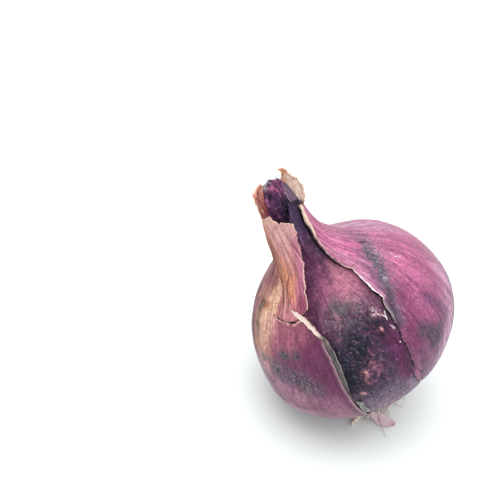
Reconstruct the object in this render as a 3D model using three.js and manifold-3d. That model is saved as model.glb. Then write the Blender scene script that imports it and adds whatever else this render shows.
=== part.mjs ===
// A red onion at rest. The bulb leans on a small flat spot, with its dry neck up and to the left.
// Its papery outer skin is torn open in front, from the neck to the root, and shows the darker
// skin below. Torn scales stand round the neck, and a tuft of dry roots hangs from the root plate.
//
// Millimetres, +Z up. The onion rests on z = 0, and the origin is under the middle of its box.
// The torn side faces -Y, and +X is to the right of it.
import * as THREE from 'three';
import { mergeVertices } from 'three/addons/utils/BufferGeometryUtils.js';
import Module from 'manifold-3d';

const wasm = await Module();
wasm.setup();

// ---- Driving dimensions ----

// The onion's outline, from the root pole to the neck's end: height along its axis, radius.
const OUTLINE = [
  [0, 0], [0.2, 7], [2, 16], [7, 27.8], [16, 35.7], [26, 39.8], [36, 40.4], [47, 37.4],
  [56.5, 30.6], [63, 22], [68, 14.6], [74, 10.6], [81, 9], [88, 8.3], [95, 8], [103, 7.9],
];
const MIDDLE_HEIGHT = 36; // of the widest ring, which the onion is turned about
const ROOT_SHIFT = 4.8; // how far the axis bends to the left at the root end
const NECK_SHIFT = 3.6; // and at the neck
const NECK_BEND_START = 52;
const NECK_BEND_LENGTH = 26;

// One side of the bulb swells a little, and the other is a little flatter:
// place along the outline, longitude, height of the swelling, reach along the outline, sharpness.
const SWELLINGS = [
  { along: 47, longitude: -74, height: 2, reach: 13, sharpness: 4 },
  { along: 68, longitude: 92, height: -0.6, reach: 16, sharpness: 3 },
];

const LEAN = [-10, -29, 8.4]; // degrees about X, Y and Z
const REST_HEIGHT = 39.1; // of the bulb's middle, so that its lowest 1.7 mm is pressed flat
const BOX_MIDDLE = [0.4, -1.1]; // of the whole onion's box, from the bulb's middle

const SKIN_THICKNESS = 0.6;
const SKIN_START = 8; // along the outline: the outer skin's ends, at the root and at the neck
const SKIN_END = 118.5;
const SKIN_ROWS = 27; // of faces between them, which the bulb's rings share
const GAP = 0.3; // between one layer and the next
const BULB_DEPTH = SKIN_THICKNESS + GAP; // of the bulb's surface below the outer skin's

// ---- The onion's surface ----

const outline = new THREE.SplineCurve(OUTLINE.map(([height, radius]) => new THREE.Vector2(height, radius)));
outline.arcLengthDivisions = 1200;
const OUTLINE_LENGTH = outline.getLength();

const radians = THREE.MathUtils.degToRad;
const mix = THREE.MathUtils.lerp;

// Where the bent axis is, sideways, at a height.
function axisShift(height) {
  if (height < MIDDLE_HEIGHT) {
    return -ROOT_SHIFT * (height / MIDDLE_HEIGHT - 1) ** 2;
  }
  const bendEnd = NECK_BEND_START + NECK_BEND_LENGTH;
  return -NECK_SHIFT * THREE.MathUtils.smoothstep(height, NECK_BEND_START, bendEnd);
}

function swelling(along, longitude) {
  let total = 0;
  for (const bump of SWELLINGS) {
    const lengthwise = Math.exp(-(((along - bump.along) / bump.reach) ** 2));
    const around = (0.5 + 0.5 * Math.cos(radians(longitude - bump.longitude))) ** bump.sharpness;
    total += bump.height * lengthwise * around;
  }
  return total;
}

// A point of the upright onion. `along` is the way along the outline from the root pole, and
// `longitude` goes round the axis in degrees, from 0 in front to 90 on the right. `lift` is the
// distance out from the surface.
function onionPoint(along, longitude, lift = 0) {
  const share = THREE.MathUtils.clamp(along / OUTLINE_LENGTH, 0, 1);
  const profile = outline.getPointAt(share);
  const tangent = outline.getTangentAt(share);
  const out = lift + swelling(along, longitude);
  const height = profile.x - tangent.y * out;
  const radius = Math.max(profile.y + tangent.x * out, 0);
  const turn = radians(longitude);
  return new THREE.Vector3(axisShift(height) + radius * Math.sin(turn), -radius * Math.cos(turn), height);
}

const lean = new THREE.Matrix4()
  .makeTranslation(-BOX_MIDDLE[0], -BOX_MIDDLE[1], REST_HEIGHT)
  .multiply(new THREE.Matrix4().makeRotationFromEuler(new THREE.Euler(...LEAN.map(radians))))
  .multiply(new THREE.Matrix4().makeTranslation(0, 0, -MIDDLE_HEIGHT));

// Leans an upright point over, and flattens what would pass below `floor`.
function atRest(point, floor = 0) {
  point.applyMatrix4(lean);
  point.z = Math.max(point.z, floor);
  return point;
}

// ---- Closed bodies from grids of points ----

function closedGeometry(points, triangles) {
  const geometry = new THREE.BufferGeometry();
  geometry.setAttribute('position', new THREE.Float32BufferAttribute(points.flatMap((p) => p.toArray()), 3));
  let volume = 0;
  for (const [a, b, c] of triangles) {
    volume += points[a].dot(new THREE.Vector3().crossVectors(points[b], points[c]));
  }
  const faces = volume > 0 ? triangles : triangles.map(([a, b, c]) => [a, c, b]);
  geometry.setIndex(faces.flat());
  geometry.computeVertexNormals();
  return geometry;
}

// A body whose sections are rings of equal count, closed by a point at each end.
function ringBody(start, rings, end) {
  const count = rings[0].length;
  const points = [start, ...rings.flat(), end];
  const triangles = [];
  const last = points.length - 1;
  for (let j = 0; j < count; j += 1) {
    const next = (j + 1) % count;
    triangles.push([0, 1 + next, 1 + j]);
    for (let i = 0; i + 1 < rings.length; i += 1) {
      const low = 1 + i * count;
      const high = low + count;
      triangles.push([low + j, low + next, high + j], [high + j, low + next, high + next]);
    }
    const top = last - count;
    triangles.push([last, top + j, top + next]);
  }
  return closedGeometry(points, triangles);
}

// A thin body between two faces. `pointAt(u, v, side)` gives the point at u across and v along,
// on the inner face where side is 0 and on the outer face where it is 1.
function sheetBody(pointAt, across, along) {
  const points = [];
  for (let side = 0; side < 2; side += 1) {
    for (let i = 0; i <= along; i += 1) {
      for (let j = 0; j <= across; j += 1) {
        points.push(pointAt(j / across, i / along, side));
      }
    }
  }
  const width = across + 1;
  const outer = width * (along + 1);
  const triangles = [];
  for (let i = 0; i < along; i += 1) {
    for (let j = 0; j < across; j += 1) {
      const a = i * width + j;
      const b = a + 1;
      const c = a + width;
      const d = c + 1;
      triangles.push([a, c, b], [b, c, d]);
      triangles.push([outer + a, outer + b, outer + c], [outer + b, outer + d, outer + c]);
    }
  }
  const rim = [];
  for (let j = 0; j < across; j += 1) rim.push(j);
  for (let i = 0; i < along; i += 1) rim.push(i * width + across);
  for (let j = across; j > 0; j -= 1) rim.push(along * width + j);
  for (let i = along; i > 0; i -= 1) rim.push(i * width);
  rim.forEach((a, k) => {
    const b = rim[(k + 1) % rim.length];
    triangles.push([a, b, outer + a], [b, outer + b, outer + a]);
  });
  return closedGeometry(points, triangles);
}

// The value at x of a line through [x, value] points.
function follow(line, x) {
  const after = line.findIndex(([end]) => x <= end);
  if (after === 0) return line[0][1];
  if (after < 0) return line[line.length - 1][1];
  const [x0, y0] = line[after - 1];
  const [x1, y1] = line[after];
  return mix(y0, y1, (x - x0) / (x1 - x0));
}

function piece(name, geometry, color, roughness) {
  const material = new THREE.MeshStandardMaterial({ color, roughness, metalness: 0 });
  material.side = THREE.FrontSide;
  const mesh = new THREE.Mesh(geometry, material);
  mesh.name = name;
  return mesh;
}

// ---- Bulb: the whole inner onion, its neck and the shrivelled stub on top ----

const BULB_SIDES = 54;
const NECK_LEDGE = 121; // along the outline, where the stub steps in from the neck
// The stub's rings: height, radius, and shift from the bent axis.
const STUB_RINGS = [
  { height: 86.4, radius: 6.3, shift: -0.6 },
  { height: 87.6, radius: 5.2, shift: -1.2 },
  { height: 91, radius: 5, shift: -0.7 },
  { height: 94.5, radius: 4.6, shift: 0 },
  { height: 97.3, radius: 3.4, shift: 0.7 },
];
const STUB_TOP = { height: 98.6, shift: 1.1 };

function stubPoint(ring, longitude) {
  const turn = radians(longitude);
  const x = axisShift(ring.height) + ring.shift + ring.radius * Math.sin(turn);
  return new THREE.Vector3(x, -ring.radius * Math.cos(turn), ring.height);
}

function bulb() {
  const floor = BULB_DEPTH;
  const longitudes = Array.from({ length: BULB_SIDES }, (_, j) => (360 * j) / BULB_SIDES);
  const places = [SKIN_START / 2];
  for (let i = 0; i <= SKIN_ROWS; i += 1) {
    places.push(mix(SKIN_START, SKIN_END, i / SKIN_ROWS));
  }
  places.push(NECK_LEDGE);
  const rings = places.map((along) => (
    longitudes.map((longitude) => atRest(onionPoint(along, longitude, -BULB_DEPTH), floor))
  ));
  for (const ring of STUB_RINGS) {
    rings.push(longitudes.map((longitude) => atRest(stubPoint(ring, longitude))));
  }
  const root = atRest(onionPoint(0, 0, -BULB_DEPTH), floor);
  const top = atRest(stubPoint({ ...STUB_TOP, radius: 0 }, 0));
  return piece('bulb', ringBody(root, rings, top), 0x5b2344, 0.5);
}

// ---- Layers that follow the onion's surface ----

// A layer bounded by two lines, [along, longitude] points from root to neck, and by two ends that
// may run slantwise, as [share across, along] points. `lift(u, along)` raises it from the surface,
// and `crowd` draws its columns towards both sides.
function layer({ from, to, bottom, top, columns, rows, lift, crowd = 0 }) {
  return sheetBody((u, v, side) => {
    const across = u - (crowd * Math.sin(2 * Math.PI * u)) / (2 * Math.PI);
    const along = mix(follow(bottom, across), follow(top, across), v);
    const longitude = mix(follow(from, along), follow(to, along), across);
    const height = lift(across, along) + (side - 1) * SKIN_THICKNESS;
    return atRest(onionPoint(along, longitude, height), (1 - side) * SKIN_THICKNESS);
  }, columns, rows);
}

// Outer skin, which wraps the bulb from the right edge of the tear round the back to the left.
const RIGHT_TEAR = [
  [8, 26], [30, 21], [40, 16], [50, 14.6], [62, 15.6], [68, 16], [78, 20], [92, 22], [100, 19.3],
  [105.5, 21.6], [110, 26.4], [115, 38], [119, 48],
];
// The left edge runs on under the neck strip.
const LEFT_TEAR = [
  [8, 338], [34, 339.6], [52, 338.4], [58, 337.2], [68, 337.4], [73, 337.8], [77, 339.4],
  [82, 336], [85, 332], [88, 326], [93, 321], [101, 316], [111, 300], [119, 292],
];
const EDGE_LIFT = 0.7; // of the torn edges, which stand a little off the bulb
const EDGE_SHARE = 0.035; // of the way round

function outerSkin() {
  const lift = (u, along) => {
    const belowNeck = 1 - THREE.MathUtils.smoothstep(along, 60, 80);
    return EDGE_LIFT * belowNeck * (Math.exp(-u / EDGE_SHARE) + Math.exp((u - 1) / EDGE_SHARE));
  };
  const geometry = layer({
    from: RIGHT_TEAR,
    to: LEFT_TEAR,
    bottom: [[0, SKIN_START]],
    top: [[0, SKIN_END]],
    columns: 46,
    rows: SKIN_ROWS,
    lift,
    crowd: 0.3,
  });
  return piece('outer_skin', geometry, 0xa4507e, 0.42);
}

// Inner skin edge: the skin below the outer one, which shows as a dull band along the left tear.
const EDGE_GAP = 0.5; // degrees between it and the outer skin
const INNER_EDGE = [
  [50, -20.4], [54, -19.9], [57, -18.9], [61.5, -17.6], [68, -17], [71.5, -17.6], [73.5, -20.4],
];

function innerSkinEdge() {
  const geometry = layer({
    from: LEFT_TEAR.map(([along, longitude]) => [along, longitude - 360 + EDGE_GAP]),
    to: INNER_EDGE,
    bottom: [[0, 50]],
    top: [[0, 73.5]],
    columns: 2,
    rows: 14,
    lift: () => 0,
  });
  return piece('inner_skin_edge', geometry, 0x77746f, 0.7);
}

// Tear flake: a small stiff scrap below that band.
function tearFlake() {
  const geometry = layer({
    from: [[38, -20], [48.6, -19.8]],
    to: [[38, -17.4], [48.6, -18]],
    bottom: [[0, 37.6], [1, 38.6]],
    top: [[0, 48.4], [1, 47]],
    columns: 2,
    rows: 4,
    lift: () => 0.2,
  });
  return piece('tear_flake', geometry, 0x9a958a, 0.7);
}

// Neck strip: a torn tongue of dry skin in front of the neck, above the crack.
const STRIP_LEFT = [
  [86, -55], [90, -49], [97, -48], [101, -54], [106, -64], [111, -73], [117, -75], [122, -66], [128, -52],
];
const STRIP_RIGHT = [
  [86, -24], [94, -22], [102, -17.6], [109, -7.6], [115.5, 4.8], [122, 13], [128, 16],
];
const STRIP_BOTTOM = [[0, 87.2], [0.3, 85.9], [0.7, 86.2], [1, 88]];
const STRIP_TOP = [[0, 127.8], [0.3, 127.6], [0.55, 125.2], [0.62, 123.6], [0.7, 124.8], [1, 121.4]];

function neckStrip() {
  const geometry = layer({
    from: STRIP_LEFT,
    to: STRIP_RIGHT,
    bottom: STRIP_BOTTOM,
    top: STRIP_TOP,
    columns: 10,
    rows: 16,
    lift: (u, along) => SKIN_THICKNESS + GAP + 0.5 * THREE.MathUtils.smoothstep(along, 100, 120),
  });
  return piece('neck_strip', geometry, 0xc98f86, 0.55);
}

// Left scale: a stiff tan point beside the stub.
function leftScale() {
  const geometry = layer({
    from: [[118, -128], [134, -118]],
    to: [[118, -92], [126, -80], [134, -72]],
    bottom: [[0, 123], [0.6, 120], [1, 119]],
    top: [[0, 128], [0.35, 134], [0.75, 136], [1, 130]],
    columns: 6,
    rows: 8,
    lift: (u, along) => mix(0.9, -0.6, (along - 119) / 17),
  });
  return piece('neck_scale_left', geometry, 0xc8906a, 0.6);
}

// Right scale: a cream scale that curls outwards behind the neck, with a hooked tip.
function rightScale() {
  const flare = [[119, 0.1], [123, 1.6], [128, 3.4], [133, 2.8], [140, -0.6]];
  const geometry = layer({
    from: [[119, 62], [126, 70], [134, 104], [141, 140]],
    to: [[119, 168], [130, 172], [141, 170]],
    bottom: [[0, 119.4]],
    top: [[0, 126], [0.3, 131], [0.7, 137], [1, 139]],
    columns: 10,
    rows: 10,
    lift: (u, along) => follow(flare, along),
  });
  return piece('neck_scale_right', geometry, 0xd8bfa2, 0.6);
}

// Inner scale: a dull purple leaf tip between the stub and the right scale.
function innerScale() {
  const geometry = layer({
    from: [[122, 62], [130, 84], [138, 120]],
    to: [[122, 128], [138, 150]],
    bottom: [[0, 124.4]],
    top: [[0, 129], [0.5, 134], [1, 137]],
    columns: 6,
    rows: 7,
    lift: () => -1.2,
  });
  return piece('neck_scale_inner', geometry, 0x6d4a6b, 0.6);
}

// ---- Root end ----

// Root plate: a low disc in the outer skin's lower opening, with its height span on the axis.
const PLATE_RADIUS = 6.2;
const PLATE_SPAN = [-1.1, 0.4];
const PLATE_SIDES = 20;

// Each root runs from the plate to its tip, through points given from the plate's middle: sideways,
// forwards, and height above the floor.
const ROOTS = [
  { radius: 0.85, from: [-3.5, -2], way: [[-6.5, 9, 1.9], [-9.5, 14, 1.1], [-12.3, 18.4, 0.95]] },
  { radius: 0.55, from: [-1.5, -4], way: [[-3.8, 9, 1.6], [-5.6, 14, 0.7], [-6, 17.6, 0.6]] },
  { radius: 0.55, from: [1.5, -4], way: [[2.8, 6, 1.4], [3.6, 8.6, 0.7], [4.2, 10.6, 0.6]] },
  { radius: 0.55, from: [4.5, -1.5], way: [[7.5, 1.2, 1.6], [10.6, 3.4, 0.7], [11.4, 6.6, 0.6]] },
  { radius: 0.8, from: [3, 2.5], way: [[5, -3, 1.8], [6, -4.2, 0.85]] },
  { radius: 0.8, from: [0, 0], way: [[1, 1, 1.8], [1.4, 1.4, 0.85]] },
  { radius: 0.8, from: [-1, 4], way: [[-0.4, -4.6, 1.8], [-0.6, -6, 0.85]] },
];
const ROOT_SIDES = 6;
const ROOT_STEPS = 9;

const plateMiddle = atRest(new THREE.Vector3(axisShift(0), 0, PLATE_SPAN[0]));

function solidOf(geometry) {
  const bare = geometry.clone();
  bare.deleteAttribute('normal');
  bare.deleteAttribute('uv');
  const merged = mergeVertices(bare, 1e-4);
  return new wasm.Manifold(new wasm.Mesh({
    numProp: 3,
    vertProperties: new Float32Array(merged.attributes.position.array),
    triVerts: new Uint32Array(merged.index.array),
  }));
}

function geometryOf(solid) {
  const mesh = solid.getMesh();
  const geometry = new THREE.BufferGeometry();
  geometry.setAttribute('position', new THREE.BufferAttribute(mesh.vertProperties, 3));
  geometry.setIndex(new THREE.BufferAttribute(mesh.triVerts, 1));
  geometry.computeVertexNormals();
  return geometry;
}

function rootPlate() {
  const [low, high] = PLATE_SPAN;
  const outside = [[PLATE_RADIUS - 1.4, low], [PLATE_RADIUS, low + 0.6], [PLATE_RADIUS, high]];
  const profile = [[0, low], ...outside, [0, high]].map(([across, up]) => new THREE.Vector2(across, up));
  const plate = new THREE.LatheGeometry(profile, PLATE_SIDES);
  plate.rotateX(Math.PI / 2);
  plate.translate(axisShift(0), 0, 0);
  plate.applyMatrix4(lean);
  return plate;
}

function root({ radius, from, way }) {
  const start = new THREE.Vector3(axisShift(0) + from[0], from[1], (PLATE_SPAN[0] + PLATE_SPAN[1]) / 2);
  const points = [start.applyMatrix4(lean)];
  for (const [sideways, forwards, height] of way) {
    points.push(new THREE.Vector3(plateMiddle.x + sideways, plateMiddle.y - forwards, height));
  }
  const section = new THREE.Shape();
  section.absarc(0, 0, radius, 0, 2 * Math.PI);
  return new THREE.ExtrudeGeometry(section, {
    steps: ROOT_STEPS,
    curveSegments: ROOT_SIDES / 2,
    extrudePath: new THREE.CatmullRomCurve3(points),
    bevelEnabled: false,
  });
}

function rootTuft() {
  let tuft = solidOf(rootPlate());
  for (const each of ROOTS) {
    tuft = tuft.add(solidOf(root(each)));
  }
  return piece('root_tuft', geometryOf(tuft), 0xb89a78, 0.8);
}

// Base flake: a scrap of pale skin that lies under the root end and points forwards.
// Its middle line from the root end to the tip, from the plate's middle: sideways, forwards,
// height above the floor, and half width.
const FLAKE_LINE = [
  [-1.4, 10.6, 1.3, 1.2], [-0.4, 13, 0.6, 3], [2.2, 16.4, 0.2, 3.9], [6.4, 18.6, 0.15, 0.7],
];
const FLAKE_THICKNESS = 0.35;

function baseFlake() {
  const middle = new THREE.CatmullRomCurve3(FLAKE_LINE.map(([x, y, z]) => new THREE.Vector3(x, -y, z)));
  const widths = FLAKE_LINE.map(([, , , half], i) => [i / (FLAKE_LINE.length - 1), half]);
  const geometry = sheetBody((u, v, side) => {
    const centre = middle.getPoint(v);
    const tangent = middle.getTangent(v);
    const sideways = new THREE.Vector3(-tangent.y, tangent.x, 0).normalize();
    const point = centre.addScaledVector(sideways, (2 * u - 1) * follow(widths, v));
    point.x += plateMiddle.x;
    point.y += plateMiddle.y;
    point.z += side * FLAKE_THICKNESS;
    return point;
  }, 4, 9);
  return piece('base_flake', geometry, 0xd3a9b8, 0.5);
}

// ---- The onion ----

const onion = new THREE.Group();
onion.name = 'red_onion';
onion.add(bulb(), outerSkin(), innerSkinEdge(), tearFlake());
onion.add(neckStrip(), leftScale(), rightScale(), innerScale());
onion.add(rootTuft(), baseFlake());

export default onion;
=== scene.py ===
"""A red onion at rest: a bulb in torn papery skins, with dry scales round its neck and dry roots.

The shapes are worked out in millimetres on the upright onion. `along` is the way along its
outline from the root pole, and `longitude` goes round its axis in degrees, from 0 in front to 90
on the right. Points are leaned over, set on the floor and turned into metres at the end.
"""

import math

import bpy
import numpy as np
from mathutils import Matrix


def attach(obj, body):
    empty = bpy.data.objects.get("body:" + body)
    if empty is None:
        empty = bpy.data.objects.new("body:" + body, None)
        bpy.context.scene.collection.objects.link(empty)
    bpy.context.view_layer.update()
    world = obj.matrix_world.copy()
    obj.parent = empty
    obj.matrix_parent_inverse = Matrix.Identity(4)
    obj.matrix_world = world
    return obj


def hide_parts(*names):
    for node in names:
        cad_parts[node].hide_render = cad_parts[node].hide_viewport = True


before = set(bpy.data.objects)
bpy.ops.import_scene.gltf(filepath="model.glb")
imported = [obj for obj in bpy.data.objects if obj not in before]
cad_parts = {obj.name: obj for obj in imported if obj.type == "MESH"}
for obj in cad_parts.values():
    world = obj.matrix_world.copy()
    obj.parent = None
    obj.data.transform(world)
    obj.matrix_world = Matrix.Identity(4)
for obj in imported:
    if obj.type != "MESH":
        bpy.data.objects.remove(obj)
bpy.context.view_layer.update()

# ---- The onion's surface ----

# Height along the axis and radius, from the root pole to the neck's end.
OUTLINE = [
    (0, 0), (0.2, 7), (2, 16), (7, 27.8), (16, 35.7), (26, 39.8), (36, 40.4), (47, 37.4),
    (56.5, 30.6), (63, 22), (68, 14.6), (74, 10.6), (81, 9), (88, 8.3), (95, 8), (103, 7.9),
]
FINE_STEPS, EVEN_STEPS = 6000, 3000
MIDDLE_HEIGHT = 36
# How far the root pole and the neck lie to the left of the bulb's axis, and the heights between
# which the neck bends.
ROOT_SHIFT = 4.8
NECK_SHIFT = 3.6
NECK_BEND = (52, 78)
LEAN = (-10, -29, 8.4)  # degrees about X, Y and Z
REST_HEIGHT = 39.1  # of the bulb's middle above the floor
BOX_MIDDLE = (0.4, -1.1)  # of the part's box, from the bulb's middle
# Where it swells: place along the outline, longitude, height, reach along, sharpness round.
SWELLINGS = [(47, -74, 2, 13, 4), (68, 92, -0.6, 16, 3), (88, 122, 0.8, 9, 5)]
SKIN = 0.3  # thickness of a dry skin
BULB_DEPTH = 0.8  # of the bulb's surface below the outer skin's
GRAIN_RADIUS = 40  # of the cylinder that a skin's grain is laid out on


def stacked(*parts):
    """Points from their coordinates."""
    return np.stack(np.broadcast_arrays(*parts), axis=-1)


def unit(ways):
    """The ways divided by their lengths."""
    return ways / np.linalg.norm(ways, axis=-1, keepdims=True)


def mix(a, b, share):
    """a, and a share of the step from a to b."""
    return a + (b - a) * share


def smooth(x, start, end):
    """0 before start, 1 after end, and an S between."""
    share = np.clip((np.asarray(x, float) - start) / (end - start), 0, 1)
    return share * share * (3 - 2 * share)


def bell(x, middle, reach):
    """1 at the middle, falling off as a bell curve: e to minus the square of the distance in reaches."""
    return np.exp(-(((x - middle) / reach) ** 2))


def follow(line, x, part=1):
    """The value at x of a line of points, each an x and one value or more."""
    return np.interp(x, [point[0] for point in line], [point[part] for point in line])


def smooth_line(points, place, before, after):
    """The Catmull-Rom line through points, at places counted in points, with one more point
    before and after them that steers its ends."""
    padded = np.vstack([before, points, after])
    span = np.minimum(place.astype(int), len(points) - 2)
    t = (place - span)[:, None]
    p0, p1, p2, p3 = (padded[span + i] for i in range(4))
    bent = (2 * p0 - 5 * p1 + 4 * p2 - p3) * t**2 + (3 * p1 - p0 - 3 * p2 + p3) * t**3
    return 0.5 * (2 * p1 + (p2 - p0) * t + bent)


def outline_table():
    """Length, height and radius of the outline in even steps of its length, and the slopes of the
    last two."""
    points = np.array(OUTLINE, float)
    line = smooth_line(points, np.linspace(0, len(points) - 1, FINE_STEPS), points[0], points[-1])
    length = np.r_[0, np.cumsum(np.linalg.norm(np.diff(line, axis=0), axis=1))]
    even = np.linspace(0, length[-1], EVEN_STEPS)
    height, radius = (np.interp(even, length, line[:, part]) for part in (0, 1))
    return even, height, radius, np.gradient(height, even), np.gradient(radius, even)


LENGTHS, HEIGHTS, RADII, CLIMBS, SPREADS = outline_table()


def radius_at(along):
    """The outline's radius at a place along it."""
    return np.interp(along, LENGTHS, RADII)


def axis_shift(height):
    """How far the bent axis is to the right at a height: a parabola below the bulb's middle, and an
    S where the neck bends."""
    root = -ROOT_SHIFT * (height / MIDDLE_HEIGHT - 1) ** 2
    neck = -NECK_SHIFT * smooth(height, *NECK_BEND)
    return np.where(height < MIDDLE_HEIGHT, root, neck)


def surface(along, longitude, lift=0.0):
    """Points at a lift out from the outline, turned round the bent axis. Swellings add to the
    lift: each is a bell along the outline times a power of half a raised cosine round it."""
    along, longitude, out = np.broadcast_arrays(along, longitude, lift)
    for place, side, height, reach, sharpness in SWELLINGS:
        around = 0.5 + 0.5 * np.cos(np.radians(longitude - side))
        out = out + height * bell(along, place, reach) * around**sharpness
    height = np.interp(along, LENGTHS, HEIGHTS) - np.interp(along, LENGTHS, SPREADS) * out
    radius = np.maximum(radius_at(along) + np.interp(along, LENGTHS, CLIMBS) * out, 0)
    turn = np.radians(longitude)
    return stacked(axis_shift(height) + radius * np.sin(turn), -radius * np.cos(turn), height)


def turned(x, y, z):
    """The matrix that turns about Z, then Y, then X."""
    (cx, cy, cz), (sx, sy, sz) = np.cos(np.radians((x, y, z))), np.sin(np.radians((x, y, z)))
    about_x = np.array([[1, 0, 0], [0, cx, -sx], [0, sx, cx]])
    about_y = np.array([[cy, 0, sy], [0, 1, 0], [-sy, 0, cy]])
    about_z = np.array([[cz, -sz, 0], [sz, cz, 0], [0, 0, 1]])
    return about_x @ about_y @ about_z


def at_rest(points, floor=0.0):
    """Upright points leaned over about the bulb's middle, and flattened where they pass the floor."""
    middle = np.array([-BOX_MIDDLE[0], -BOX_MIDDLE[1], REST_HEIGHT])
    leaned = (points - np.array([0, 0, MIDDLE_HEIGHT])) @ turned(*LEAN).T + middle
    leaned[..., 2] = np.maximum(leaned[..., 2], floor)
    return leaned


def grain_of(along, longitude):
    """A place in the skin's grain: a cylinder of the bulb's radius, with the length as its height."""
    turn = np.radians(longitude)
    return stacked(GRAIN_RADIUS * np.cos(turn), GRAIN_RADIUS * np.sin(turn), along)


def torn(x, seed, size, longest=7.0, shortest=0.9):
    """A torn edge's small wander along x: a sum of sines whose lengths fall in even ratios, with
    random phases, the longer ones the larger."""
    count = 9
    lengths = np.geomspace(longest, shortest, count)
    phases = np.random.default_rng(seed).uniform(0, 2 * np.pi, count)
    waves = np.sin(2 * np.pi * np.asarray(x)[..., None] / lengths + phases)
    return size * (waves * (lengths / longest) ** 0.6).sum(-1) / 2.2


def folds(along, longitude, counts, seed, slant=0.02):
    """Lengthwise folds: a sum of cosines round the axis, each a whole number to a turn, that drift
    a little along it."""
    rng = np.random.default_rng(seed)
    total = 0
    for count in counts:
        drift = rng.normal(0, slant)
        total = total + np.cos(count * np.radians(longitude) + drift * along + rng.uniform(0, 6.28))
    return total / math.sqrt(len(counts))


# ---- Closed shells from grids of points ----


def shares(rows, columns):
    """Shares from 0 to 1 on a grid, down its rows and along them."""
    return np.meshgrid(np.linspace(0, 1, rows + 1), np.linspace(0, 1, columns + 1), indexing="ij")


def grid_faces(rows, columns, first=0, wrap=False):
    """The four-sided faces of a grid of points, row by row, joined round where it wraps."""
    i, j = np.meshgrid(np.arange(rows - 1), np.arange(columns if wrap else columns - 1), indexing="ij")
    k = (j + 1) % columns
    here, above = i * columns, (i + 1) * columns
    return np.stack([here + j, here + k, above + k, above + j], -1).reshape(-1, 4) + first


def facing_out(points, quads, triangles):
    """The faces, turned over if the closed shell's volume comes out negative."""
    volume = 0.0
    for face in (quads[:, [0, 1, 2]], quads[:, [0, 2, 3]], triangles):
        a, b, c = points[face[:, 0]], points[face[:, 1]], points[face[:, 2]]
        volume += np.einsum("ij,ij->", a, np.cross(b, c))
    turn = -1 if volume < 0 else 1
    return quads[:, ::turn], triangles[:, ::turn]


def two_faced(outer, inner, marks):
    """A thin closed shell between an outer and an inner grid, with a rim round it. Marks are
    values on the grid that both faces carry; `face` is 1 outside and 0 inside."""
    rows, columns = outer.shape[:2]
    size = rows * columns
    points = np.concatenate([outer.reshape(-1, 3), inner.reshape(-1, 3)])
    front = grid_faces(rows, columns)
    back = grid_faces(rows, columns, size)[:, ::-1]
    number = np.arange(size).reshape(rows, columns)
    loop = np.concatenate([number[0, :-1], number[:-1, -1], number[-1, :0:-1], number[:0:-1, 0]])
    after = np.roll(loop, -1)
    rim = np.stack([after, loop, loop + size, after + size], -1)
    faces = facing_out(points, np.concatenate([front, back, rim]), np.zeros((0, 3), int))
    values = {name: np.concatenate([mark.reshape(size, -1)] * 2) for name, mark in marks.items()}
    values["face"] = np.repeat([[1.0], [0.0]], size, axis=0)
    return points, *faces, values


def ringed(rings, start, end, marks):
    """A closed body of rings, each a row of the grid, with a point closing it at each end."""
    rows, columns = rings.shape[:2]
    size = rows * columns
    points = np.concatenate([rings.reshape(-1, 3), [start, end]])
    j = np.arange(columns)
    k = (j + 1) % columns
    top = size - columns
    closing = np.concatenate([stacked(size, k, j), stacked(size + 1, top + j, top + k)])
    faces = facing_out(points, grid_faces(rows, columns, wrap=True), closing)
    values = {}
    for name, mark in marks.items():
        flat = mark.reshape(size, -1)
        values[name] = np.concatenate([flat, [flat[:columns].mean(0), flat[top:].mean(0)]])
    return points, *faces, values


def piece(name, shells, finish, nodes=(), crease=40):
    """One mesh object from closed shells in millimetres, smooth but for edges sharper than crease."""
    points, faces, first = [], [], 0
    for shell in shells:
        points.append(shell[0])
        faces += (shell[1] + first).tolist() + (shell[2] + first).tolist()
        first += len(shell[0])
    mesh = bpy.data.meshes.new(name)
    mesh.from_pydata((np.concatenate(points) / 1000).tolist(), [], faces)
    for mark in shells[0][3]:
        values = np.concatenate([shell[3][mark] for shell in shells]).astype(np.float32)
        kind, field = ("FLOAT_VECTOR", "vector") if values.shape[1] == 3 else ("FLOAT", "value")
        mesh.attributes.new(mark, kind, "POINT").data.foreach_set(field, values.ravel())
    mesh.shade_smooth()
    mesh.set_sharp_from_angle(angle=math.radians(crease))
    mesh.materials.append(finish)
    made = bpy.data.objects.new(name, mesh)
    bpy.context.collection.objects.link(made)
    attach(made, "root")
    if nodes:
        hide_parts(*nodes)


# ---- Finishes ----

# Constants of the shader: a dusty skin, and a dull dry one.
SHEEN = {"Specular IOR Level": 0.2, "Sheen Weight": 0.2, "Sheen Roughness": 0.3}
DULL = {"Specular IOR Level": 0.14, "Sheen Weight": 0.04, "Sheen Roughness": 0.4}


def colour(code):
    """A linear colour from the six hex digits of a screen colour."""
    screen = np.array(list(bytes.fromhex(code))) / 255
    linear = np.where(screen <= 0.04045, screen / 12.92, ((screen + 0.055) / 1.055) ** 2.4)
    return (*linear.tolist(), 1.0)


class Wire:
    """A node's output, which sums and products of numbers and other wires can be written with."""

    def __init__(self, finish, socket):
        self.finish = finish
        self.socket = socket

    def maths(self, operation, *values):
        """A Math node on wires or numbers."""
        return self.finish.node("ShaderNodeMath", {"operation": operation}, dict(enumerate(values)))

    def __add__(self, other):
        return self.maths("ADD", self, other)

    __radd__ = __add__

    def __sub__(self, other):
        return self.maths("SUBTRACT", self, other)

    def __rsub__(self, other):
        return self.maths("SUBTRACT", other, self)

    def __mul__(self, other):
        return self.maths("MULTIPLY", self, other)

    __rmul__ = __mul__

    def __truediv__(self, other):
        return self.maths("DIVIDE", self, other)

    def __rtruediv__(self, other):
        return self.maths("DIVIDE", other, self)

    def __pow__(self, other):
        return self.maths("POWER", self, other)

    def __or__(self, other):
        """The larger of the two, which joins masks."""
        return self.maths("MAXIMUM", self, other)


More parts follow.
